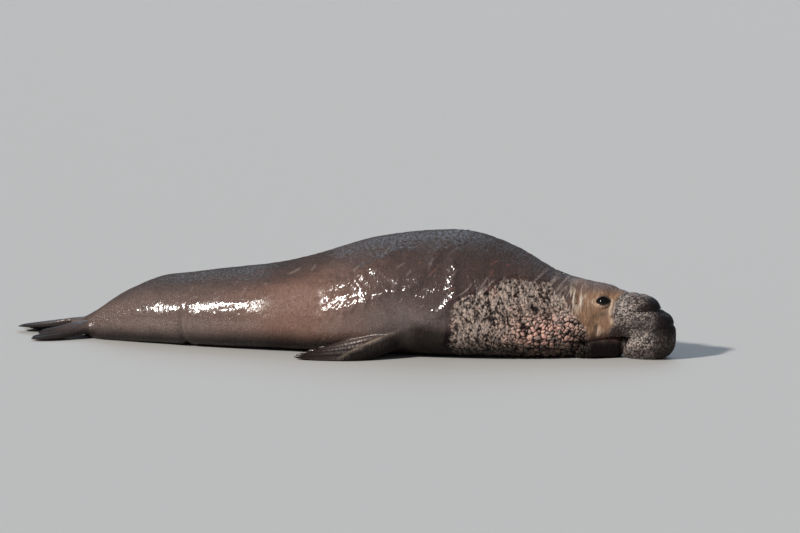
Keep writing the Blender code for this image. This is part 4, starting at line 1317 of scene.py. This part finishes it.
def new_points(item, before):
    """Which points of the item weren't there before: those that a Boolean made."""
    def keys(points):
        whole = np.round(points * 1e5).astype(np.int64)
        return whole[:, 0] * 7919 * 7919 + whole[:, 1] * 7919 + whole[:, 2]

    return ~np.isin(keys(points_of(item)), keys(before))


def smooth_seam(item, before):
    """Softens the hide along the seam that the last Boolean made, most at the hind flippers."""
    points, edges = points_of(item), edges_of(item)
    seam = new_points(item, before) & ~mouth_line(unposed(points))
    weight = spread_from(seam, edges, SEAM_STEPS) ** 0.5
    hind = points[:, 0] < HIND_SEAM_FROM
    points = smoothed(points, edges, weight, SEAM_ROUNDS).astype(np.float32).astype(float)
    weight = spread_from(seam & hind, edges, SEAM_STEPS * HIND_SEAM_TIMES) ** 0.5
    points = smoothed(points, edges, weight, SEAM_ROUNDS * HIND_SEAM_TIMES)
    set_points(item, on_floor(points))


def soften_rim(item, before):
    """Rounds the rim of the last cut and leaves its bottom as it is."""
    points, edges = points_of(item), edges_of(item)
    made = new_points(item, before)
    first, second = edges.T
    rim = np.zeros(len(points), dtype=bool)
    rim[first[made[first] & ~made[second]]] = True
    rim[second[made[second] & ~made[first]]] = True
    weight = spread_from(rim, edges, SEAM_STEPS) ** 0.5
    weight[made & ~rim] = 0.0
    set_points(item, smoothed(points, edges, weight, SEAM_ROUNDS))


def mouth_line(points):
    """Whether a point lies along the mouth, which stays sharp."""
    return (points[:, 0] > MOUTH_CORNER_X) & (points[:, 2] > 0.02)


def build_skin():
    """The whole hide as one closed surface, with open lids over the eyes' sockets."""
    skin = closed_loft("skin", hide_rings(hide_places(), AROUND), (0.0, 0.0), (1.0, 0.86))
    before = points_of(skin)
    joined(skin, "DIFFERENCE", [lobe_crease()])
    soften_rim(skin, before)

    parts = [station_loft("jaw", JAW, JAW_RINGS, JAW_AROUND, (0.0, 0.87), (0.2, 1.0))]
    parts += [station_loft("tail", TAIL, TAIL_RINGS, TAIL_AROUND, (0.92, 0.87), (1.0, 1.0))]
    for side in (1, -1):
        patch_x = 0.21 if side > 0 else 0.38
        rings = flipper_rings(FORE_FLIPPER, fore_length) * (1, side, 1)
        parts.append(closed_loft("fore", rings, (patch_x, 0.87), (patch_x + 0.16, 1.0)))
        patch_x = 0.55 if side > 0 else 0.72
        share = 1.0 if side > 0 else HIND_RIGHT_SHARE
        rings = flipper_rings(hind_stations(share), hind_length) * (1, side, 1)
        parts.append(closed_loft("hind", rings, (patch_x, 0.87), (patch_x + 0.16, 1.0)))
        middle = eye_frame(side)[0]
        radius = EYE_RADIUS + LID_THICKNESS
        parts.append(ellipsoid("lids", middle, (radius,) * 3, around=96))
    before = np.vstack([points_of(skin)] + [points_of(part) for part in parts])
    joined(skin, "UNION", parts)
    smooth_seam(skin, before)

    cutters = []
    for side in (1, -1):
        cutters.append(lid_opening(side))
        cutters.append(pit(EAR_AT, EAR_HALF_SIZE, side))
        cutters.append(pit(NOSTRIL_AT, NOSTRIL_HALF_SIZE, side))
    joined(skin, "DIFFERENCE", cutters)
    joined(skin, "UNION", [lid_roll(side) for side in (1, -1)])
    sockets = []
    for side in (1, -1):
        radius = EYE_RADIUS + EYE_GAP
        sockets.append(ellipsoid("socket", eye_frame(side)[0], (radius,) * 3, around=96))
    joined(skin, "DIFFERENCE", sockets)
    return skin


def near_eye(points, reach):
    """1 close to the opening of either eye, 0 beyond the reach."""
    near = np.zeros(len(points))
    for side in (1, -1):
        ring, _, _ = eye_ring(points, side)
        near = np.maximum(near, 1 - ramp(ring, 1.0, reach))
    return near


def eye_folds(points):
    """Fine folds round the lids: height outwards, in metres."""
    height = np.zeros(len(points))
    for side in (1, -1):
        ring, reach, lift = eye_ring(points, side)
        fold = np.sin(2 * math.pi * (ring - 1.12) / 0.30)
        height += 0.0013 * fold * band(ring, 1.12, 1.22, 1.55, 2.05)
        tail = hump(lift, -0.05, 0.10) * band(-reach, 1.00, 1.12, 1.35, 1.70)
        height -= 0.0030 * tail * (ring < 3)
    return height


def dress_skin(skin):
    """Adds the fine relief and paints the markings, with painted shade and highlights, onto the
    skin.
    """
    points, normals = points_of(skin), normals_at(skin)
    rest = unposed(points)
    relief, *facts = skin_relief(rest)
    guard = 1 - near_eye(points, 1.45)
    floor_guard = ramp(points[:, 2], 0.0005, 0.012)
    relief = relief * guard * floor_guard + eye_folds(points)
    set_points(skin, on_floor(points + normals * relief[:, None]))
    colour, wet = skin_colour_and_painted_light(rest, normals_at(skin), facts)
    colour = paint_eye_surround(colour, points)
    for *how, paint, share in SCARS:
        colour = blend(colour, paint, share * scar_lines(rest, *how))
    # The colour, with its painted shade and highlights
    store(skin, "markings_and_painted_light", colour)
    store_value(skin, "wet", wet * guard + 0.9 * (1 - guard))
    return facts


def paint_eye_surround(colour, points):
    """Dark rims and a shade over each eye, with pale skin below, before and behind it."""
    for side in (1, -1):
        ring, reach, lift = eye_ring(points, side)
        below = hump(ring, 1.36, 0.12) * ramp(-lift, 0.2, 0.9)
        before = hump(ring, 1.45, 0.16) * ramp(reach, 0.7, 1.2)
        behind = hump(ring, 1.60, 0.20) * ramp(-reach, 0.7, 1.3)
        coats = (
            (SHADE_TONE, 0.5 * hump(ring, 1.30, 0.15) * ramp(lift, 0.2, 0.8)),
            (PALE_SKIN_AND_HIGHLIGHT, 0.75 * np.maximum(below, np.maximum(before, 0.8 * behind))),
            (LID_RIM, 1 - ramp(ring, 1.06, 1.20)),
        )
        colour = painted(colour, coats)
    return colour


def store(item, name, colour):
    layer = item.data.color_attributes.new(name=name, type="FLOAT_COLOR", domain="POINT")
    full = np.ones((len(colour), 4), dtype=np.float32)
    full[:, :3] = colour
    layer.data.foreach_set("color", full.ravel())


def store_value(item, name, values):
    layer = item.data.attributes.new(name=name, type="FLOAT", domain="POINT")
    layer.data.foreach_set("value", np.asarray(values, dtype=np.float32))


def node(tree, kind, sources, **values):
    """A shader node with these values, and its other inputs fed by the outputs given."""
    made = tree.nodes.new(kind)
    for name, value in values.items():
        made.inputs[name.replace("_", " ")].default_value = value
    for name, source in sources.items():
        tree.links.new(source, made.inputs[name])
    return made


def mapped(tree, source, limits):
    """A value that follows a source from 0 to 1 between these limits."""
    low, high = limits
    made = node(tree, "ShaderNodeMapRange", {"Value": source}, To_Min=low, To_Max=high)
    return made.outputs["Result"]


def attribute(tree, name):
    made = tree.nodes.new("ShaderNodeAttribute")
    made.attribute_name = name
    return made


def hide_noise(tree, place, scale, detail, roughness, turn=0.0):
    """Noise over the hide; scale is lumps per metre along each axis."""
    vector = place
    if isinstance(scale, tuple):
        lean = (0.0, math.radians(turn), 0.0)
        vector = node(tree, "ShaderNodeMapping", {"Vector": place}, Rotation=lean, Scale=scale)
        vector, scale = vector.outputs["Vector"], 1.0
    made = node(
        tree, "ShaderNodeTexNoise", {"Vector": vector},
        Scale=scale, Detail=detail, Roughness=roughness,
    )
    return made.outputs["Fac"]


def new_material(name):
    made = bpy.data.materials.new(name)
    made.use_nodes = True
    return made, made.node_tree, made.node_tree.nodes["Principled BSDF"]


def hide_material(name, hair_strength):
    """Wet short fur over thick skin: painted colour, broken gloss and fine bumps."""
    made, tree, shader = new_material(name)
    link = tree.links.new
    wet = attribute(tree, "wet").outputs["Fac"]
    place = tree.nodes.new("ShaderNodeTexCoord").outputs["Object"]
    hairs = hide_noise(tree, place, HAIR_SCALE, 4.0, 0.6)
    grain = hide_noise(tree, place, GRAIN_SCALE, 5.0, 0.65)
    strokes = hide_noise(tree, place, STROKE_SCALE, 1.5, 0.5, STROKE_LEAN)

    tinted = tree.nodes.new("ShaderNodeVectorMath")
    tinted.operation = "SCALE"
    link(attribute(tree, "markings_and_painted_light").outputs["Color"], tinted.inputs[0])
    link(mapped(tree, hairs, TINT_RANGE), tinted.inputs["Scale"])
    link(tinted.outputs["Vector"], shader.inputs["Base Color"])

    broken = tree.nodes.new("ShaderNodeMath")
    broken.operation = "MULTIPLY_ADD"
    broken.inputs[1].default_value = ROUGHNESS_GRAIN
    link(grain, broken.inputs[0])
    link(mapped(tree, wet, ROUGHNESS), broken.inputs[2])
    centred = tree.nodes.new("ShaderNodeMath")
    centred.operation = "SUBTRACT"
    centred.inputs[1].default_value = ROUGHNESS_GRAIN / 2
    link(broken.outputs["Value"], centred.inputs[0])
    link(centred.outputs["Value"], shader.inputs["Roughness"])
    link(mapped(tree, wet, SPECULAR), shader.inputs["Specular IOR Level"])

    hair_bump = (hair_strength, WET_HAIR_SHARE * hair_strength)
    below = {}
    for height, depth, strengths in (
        (strokes, STROKE_BUMP_DEPTH, STROKE_BUMP),
        (grain, GRAIN_BUMP_DEPTH, GRAIN_BUMP),
        (hairs, HAIR_BUMP_DEPTH, hair_bump),
    ):
        sources = {"Height": height, "Strength": mapped(tree, wet, strengths), **below}
        bump = node(tree, "ShaderNodeBump", sources, Distance=depth)
        below = {"Normal": bump.outputs["Normal"]}
    link(below["Normal"], shader.inputs["Normal"])
    return made


def plain_material(name, colour, roughness, coat=0.0, grain_depth=0.0):
    """One even colour, with a clear coat and a fine grain where they are asked for."""
    made, tree, shader = new_material(name)
    shader.inputs["Base Color"].default_value = (*colour, 1.0)
    shader.inputs["Roughness"].default_value = roughness
    shader.inputs["Coat Weight"].default_value = coat
    if grain_depth > 0:
        place = tree.nodes.new("ShaderNodeTexCoord").outputs["Object"]
        sources = {"Height": hide_noise(tree, place, HORN_GRAIN_SCALE, 4.0, 0.5)}
        bump = node(tree, "ShaderNodeBump", sources, Strength=0.5, Distance=grain_depth)
        tree.links.new(bump.outputs["Normal"], shader.inputs["Normal"])
    return made


def dress(item, material, slot, *replaced):
    """Gives a piece its material and the solids that it stands for; the slot is not used."""
    item.data.materials.clear()
    item.data.materials.append(material)
    item.data.polygons.foreach_set("use_smooth", np.ones(len(item.data.polygons), dtype=bool))
    item.data.update()
    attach(item, "root")
    if replaced:
        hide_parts(*replaced)


def build_eye(side, word, material):
    middle, look, _, _ = eye_frame(side)
    turned = look.to_track_quat("Z", "Y").to_matrix().to_4x4()
    eye = ellipsoid(f"wet_eye_{word}", middle, (EYE_RADIUS,) * 3, turned, around=96)
    dress(eye, material, "eye", f"eye_{word}")


def tapered_tube(spine, radii, sides):
    """Points and triangles of a closed tube that thins along the spine."""
    points = []
    run = (spine[-1] - spine[0]).normalized()
    side_way = run.orthogonal().normalized()
    other_way = run.cross(side_way)
    for at, radius in zip(spine, radii):
        for step in range(sides):
            turn = 2 * math.pi * step / sides
            points.append(at + (side_way * math.cos(turn) + other_way * math.sin(turn)) * radius)
    triangles = walls(len(spine), sides)
    base = (len(spine) - 1) * sides
    for step in range(1, sides - 1):
        triangles += [(0, step + 1, step), (base, base + step, base + step + 1)]
    return points, triangles


def merged(name, shapes):
    points, triangles, offset = [], [], 0
    for shape_points, shape_triangles in shapes:
        points += [tuple(point) for point in shape_points]
        triangles += [(a + offset, b + offset, c + offset) for a, b, c in shape_triangles]
        offset += len(shape_points)
    return mesh_object(name, points, triangles)


def build_claws(material):
    """Blunt dark claws on the upper side of each digit of the fore flippers."""
    shapes = []
    for side in (1, -1):
        rings = flipper_rings(FORE_FLIPPER, fore_length)
        around = rings.shape[1]
        for digit in range(DIGITS):
            across = -1 + (2 * digit + 1) / DIGITS
            turn = 2 * math.pi - math.acos(across)
            column = round(turn / (2 * math.pi) * around) % around
            points = on_floor(posed(rings[:, column] * (1, side, 1)))
            tip = Vector(points[-1])
            run = tip - Vector(points[-around // 8])
            run.z = 0.0
            run.normalize()
            root = tip - run * (CLAW_LENGTH - CLAW_OVERHANG)
            spine, radii = [], []
            for share in np.linspace(0.0, 1.0, CLAW_RINGS):
                at = root + run * CLAW_LENGTH * share
                at.z = tip.z + CLAW_RADIUS * (0.9 - 0.75 * share**2.2) + CLAW_LIFT
                swell = math.sin(math.pi * min(share + 0.15, 1) ** 0.8)
                spine.append(at)
                radii.append(CLAW_RADIUS * (0.55 + 0.45 * swell))
            radii[-1] = CLAW_RADIUS * 0.30
            shapes.append(tapered_tube(spine, radii, 12))
    claws = merged("claws", shapes)
    dress(claws, material, "flipper")


def build_whiskers(skin, material):
    """Stiff whiskers: rows on the pads beside the nose, and a few over each eye."""
    skin_tree = BVHTree.FromObject(skin, bpy.context.evaluated_depsgraph_get())
    draw = np.random.default_rng(21)
    shapes = []
    for side in (1, -1):
        roots = []
        for row in range(WHISKER_ROWS):
            for place in range(WHISKERS_IN_ROW):
                x = 1.722 + 0.019 * place + 0.006 * (row % 2)
                z = 0.118 + 0.0155 * row
                length = 0.030 + 0.050 * (1 - place / WHISKERS_IN_ROW) * draw.uniform(0.7, 1.1)
                roots.append((x, z, length, Vector((-0.55, 0.75 * side, -0.35))))
        for brow in range(BROW_WHISKERS):
            x = 1.700 + 0.010 * math.cos(brow * 1.1)
            z = 0.412 + 0.008 * math.sin(brow * 1.1)
            roots.append((x, z, draw.uniform(0.03, 0.055), Vector((-0.35, 0.55 * side, 0.55))))
        for x, z, length, way in roots:
            outside = Vector(posed(np.array((x, side * 0.6, z))))
            hit, normal, _, _ = skin_tree.ray_cast(outside, Vector((0, -side, 0)))
            if hit is None:
                continue
            way = (way.normalized() + normal * 0.5).normalized()
            sag = Vector((0, 0, -length * 0.25))
            spine, radii = [], []
            for share in np.linspace(0.0, 1.0, 6):
                spine.append(hit + way * (length * share - 0.003) + sag * share**2)
                radii.append(WHISKER_RADIUS * (1 - 0.85 * share))
            shapes.append(tapered_tube(spine, radii, 5))
    whiskers = merged("whiskers", shapes)
    dress(whiskers, material, "face")


def patch_of_points(skin):
    """The place of each of the skin's points on its map."""
    corner = read(skin.data.loops, "vertex_index", 1, np.int32)[:, 0]
    patch = np.zeros((len(skin.data.vertices), 2))
    patch[corner] = read(skin.data.uv_layers["OFBake"].uv, "vector", 2)
    return patch


def point_areas(skin, points):
    """About how much of the skin belongs to each point, from the length of its edges."""
    first, second = edges_of(skin).T
    length = np.linalg.norm(points[first] - points[second], axis=1)
    count = np.bincount(first, minlength=len(points)) + np.bincount(second, minlength=len(points))
    total = np.bincount(first, length, len(points)) + np.bincount(second, length, len(points))
    return (total / np.maximum(count, 1)) ** 2 * 0.8


def tuft_density(points, normals, patch, rest, shield, rough):
    """Tufts per square metre at each point: few on rough skin, none at the eyes and mouth."""
    density = TUFTS_PER_SQUARE_METRE * (1 - 0.93 * shield) * (1 - 0.97 * rough)
    density = density * ramp(points[:, 2], 0.02, 0.06) * (1 - near_eye(points, 2.2))
    density = density * (1 + 0.4 * ramp(normals[:, 2], 0.5, 0.95)) * (patch[:, 1] < 0.862)
    density = density * (1 + 0.6 * ramp(rest[:, 0], 1.40, 1.55))
    density = density * ~((rest[:, 0] > 1.60) & (rest[:, 2] < 0.22))
    return density * ~(np.abs(normals).sum(axis=1) < 0.5)


def tuft_corners(draw, at, up, home):
    """The seven corners of each blade: three at its root, three halfway and its tip."""
    count = len(at)
    face = ramp(home[:, 0], 1.40, 1.55)
    length = (TUFT_LENGTH * (1 - 0.60 * face)) * draw.uniform(0.7, 1.2, count)
    width = (TUFT_WIDTH * (1 - 0.55 * face)) * draw.uniform(0.7, 1.2, count)
    lie = np.tile((-1.0, 0.0, -0.28), (count, 1))
    lie = lie + 0.28 * np.stack([layered_noise(home, 0.12, 91 + k, 2) for k in range(3)], axis=-1)
    lie = lie + draw.normal(0.0, 0.10, (count, 3))
    lie = lie - up * np.einsum("ij,ij->i", lie, up)[:, None]
    lie = lie / np.linalg.norm(lie, axis=1, keepdims=True)
    across = np.cross(up, lie)
    stray = draw.uniform(-0.5, 0.5, (2, count, 1)) * TUFT_STRAY
    at = at + lie * stray[0] + across * stray[1]
    rise = (TUFT_RISE * (1 - 0.45 * face)) * draw.uniform(0.5, 1.3, count)
    low = rise * 0.35
    sink = np.full(count, -TUFT_SINK)
    corners = []
    for share, out, wide in (
        (0.0, sink, -0.5),
        (0.0, sink, 0.5),
        (0.0, low * 0.6, 0.0),
        (0.5, low * 0.5, -0.42),
        (0.5, low * 0.5, 0.42),
        (0.5, rise, 0.0),
        (1.0, rise * 0.9, 0.0),
    ):
        along = lie * (length * share)[:, None]
        corners.append(at + along + up * out[:, None] + across * (width * wide)[:, None])
    return np.stack(corners, axis=1)


def build_tufts(skin, facts, material):
    """Short flat tufts of wet fur, thin closed blades that overlap and lie along the body."""
    draw = np.random.default_rng(33)
    points, normals = points_of(skin), normals_at(skin)
    patch, rest = patch_of_points(skin), unposed(points)
    shield, rough = facts[2:]
    density = tuft_density(points, normals, patch, rest, shield, rough)
    picked = np.flatnonzero(draw.random(len(points)) < point_areas(skin, points) * density)
    draw.shuffle(picked)
    picked = picked[:MOST_TUFTS]
    corners = tuft_corners(draw, points[picked], normals[picked], rest[picked])
    uv = patch[picked][:, None] + TUFT_MAP * (TUFT_PATCH / 2)
    colours = read(skin.data.color_attributes["markings_and_painted_light"].data, "color", 4)[:, :3]
    wetness = read(skin.data.attributes["wet"].data, "value", 1)[:, 0]
    per_piece = MOST_TUFT_TRIANGLES // len(TUFT_TRIANGLES)
    for number, start in enumerate(range(0, len(picked), per_piece), start=1):
        chosen = slice(start, start + per_piece)
        shape = corners[chosen].reshape(-1, 3)
        size = len(shape) // 7
        triangles = (np.arange(size)[:, None, None] * 7 + TUFT_TRIANGLES).reshape(-1, 3)
        patches = np.clip(uv[chosen], 0.0, 1.0)[:, TUFT_TRIANGLES.ravel()].reshape(-1, 2)
        if volume_of(shape, triangles) < 0:
            triangles = triangles[:, ::-1]
            patches = patches.reshape(-1, 3, 2)[:, ::-1].reshape(-1, 2)
        tufts = mesh_object(f"coat_{number}", shape, triangles, patches)
        own = np.repeat(picked[chosen], 7)
        shade = np.repeat(draw.uniform(0.90, 1.14, size), 7)[:, None]
        store(tufts, "markings_and_painted_light", colours[own] * shade)
        store_value(tufts, "wet", TUFT_WETNESS * wetness[own])
        dress(tufts, material, "hide")


def build_floor():
    mesh = bpy.data.meshes.new("floor")
    half = FLOOR_HALF
    corners = [(-half, -half, 0), (half, -half, 0), (half, half, 0), (-half, half, 0)]
    mesh.from_pydata(corners, [], [(0, 1, 2, 3)])
    mesh.materials.append(plain_material("pale_floor", FLOOR_TONE, 0.7))
    floor = placed("floor", mesh)
    floor.location.z = -FLOOR_DROP


def add_light(name, toward, spread_degrees, strength, colour):
    """A far soft light: it comes from one way, spread over this many degrees."""
    lamp = bpy.data.lights.new(name, "SUN")
    lamp.angle = math.radians(spread_degrees)
    lamp.energy = strength
    lamp.color = colour
    placed(name, lamp).rotation_euler = Vector(toward).to_track_quat("Z", "Y").to_euler()


def light_scene():
    add_light("key", KEY_TOWARD, KEY_SPREAD, KEY_STRENGTH, KEY_COLOUR)
    add_light("top", TOP_TOWARD, TOP_SPREAD, TOP_STRENGTH, TOP_COLOUR)
    world = bpy.data.worlds.new("studio")
    world.use_nodes = True
    backing = world.node_tree.nodes["Background"]
    backing.inputs["Color"].default_value = WORLD_COLOUR
    backing.inputs["Strength"].default_value = WORLD_STRENGTH
    bpy.context.scene.world = world
    bpy.context.scene.view_settings.view_transform = "Standard"


def place_camera():
    """The photo's view, from far off through a long lens."""
    turn, tilt = math.radians(CAMERA_AZIMUTH), math.radians(CAMERA_ELEVATION)
    right = Vector((math.cos(turn), math.sin(turn), 0))
    level = Vector((-math.sin(turn), math.cos(turn), 0))
    up = level * math.sin(tilt) + Vector((0, 0, math.cos(tilt)))
    back = right.cross(up)
    target = right * CAMERA_TARGET_RIGHT + up * CAMERA_TARGET_UP
    lens = bpy.data.cameras.new("camera")
    lens.lens = CAMERA_LENS
    lens.sensor_width = CAMERA_SENSOR
    lens.clip_end = 500
    camera = placed("camera", lens)
    turned = Matrix((right, up, back)).transposed().to_4x4()
    distance = FRAME_WIDTH_AT_TARGET * CAMERA_LENS / CAMERA_SENSOR
    camera.matrix_world = Matrix.Translation(target + back * distance) @ turned
    bpy.context.scene.camera = camera


hide_skin = hide_material("wet_hide", 0.5)
hide_tuft = hide_material("wet_fur", 0.3)
claw_horn = plain_material("claw_horn", CLAW_TONE, 0.32, coat=0.2, grain_depth=0.0006)
whisker_horn = plain_material("whisker_horn", WHISKER_TONE, 0.35)
eye_wet = plain_material("eye_wet", EYE_TONE, 0.04)
eye_shader = eye_wet.node_tree.nodes["Principled BSDF"]
eye_shader.inputs["Specular IOR Level"].default_value = EYE_SPECULAR

skin = build_skin()
facts = dress_skin(skin)
dress(
    skin, hide_skin, "hide",
    "rump", "abdomen", "chest", "neck", "head", "proboscis", "lower_jaw", "tail",
    "fore_flipper_left", "fore_flipper_right", "hind_flipper_left", "hind_flipper_right",
)
build_eye(1, "left", eye_wet)
build_eye(-1, "right", eye_wet)
build_claws(claw_horn)
build_whiskers(skin, whisker_horn)
build_tufts(skin, facts, hide_tuft)
build_floor()
light_scene()
place_camera()
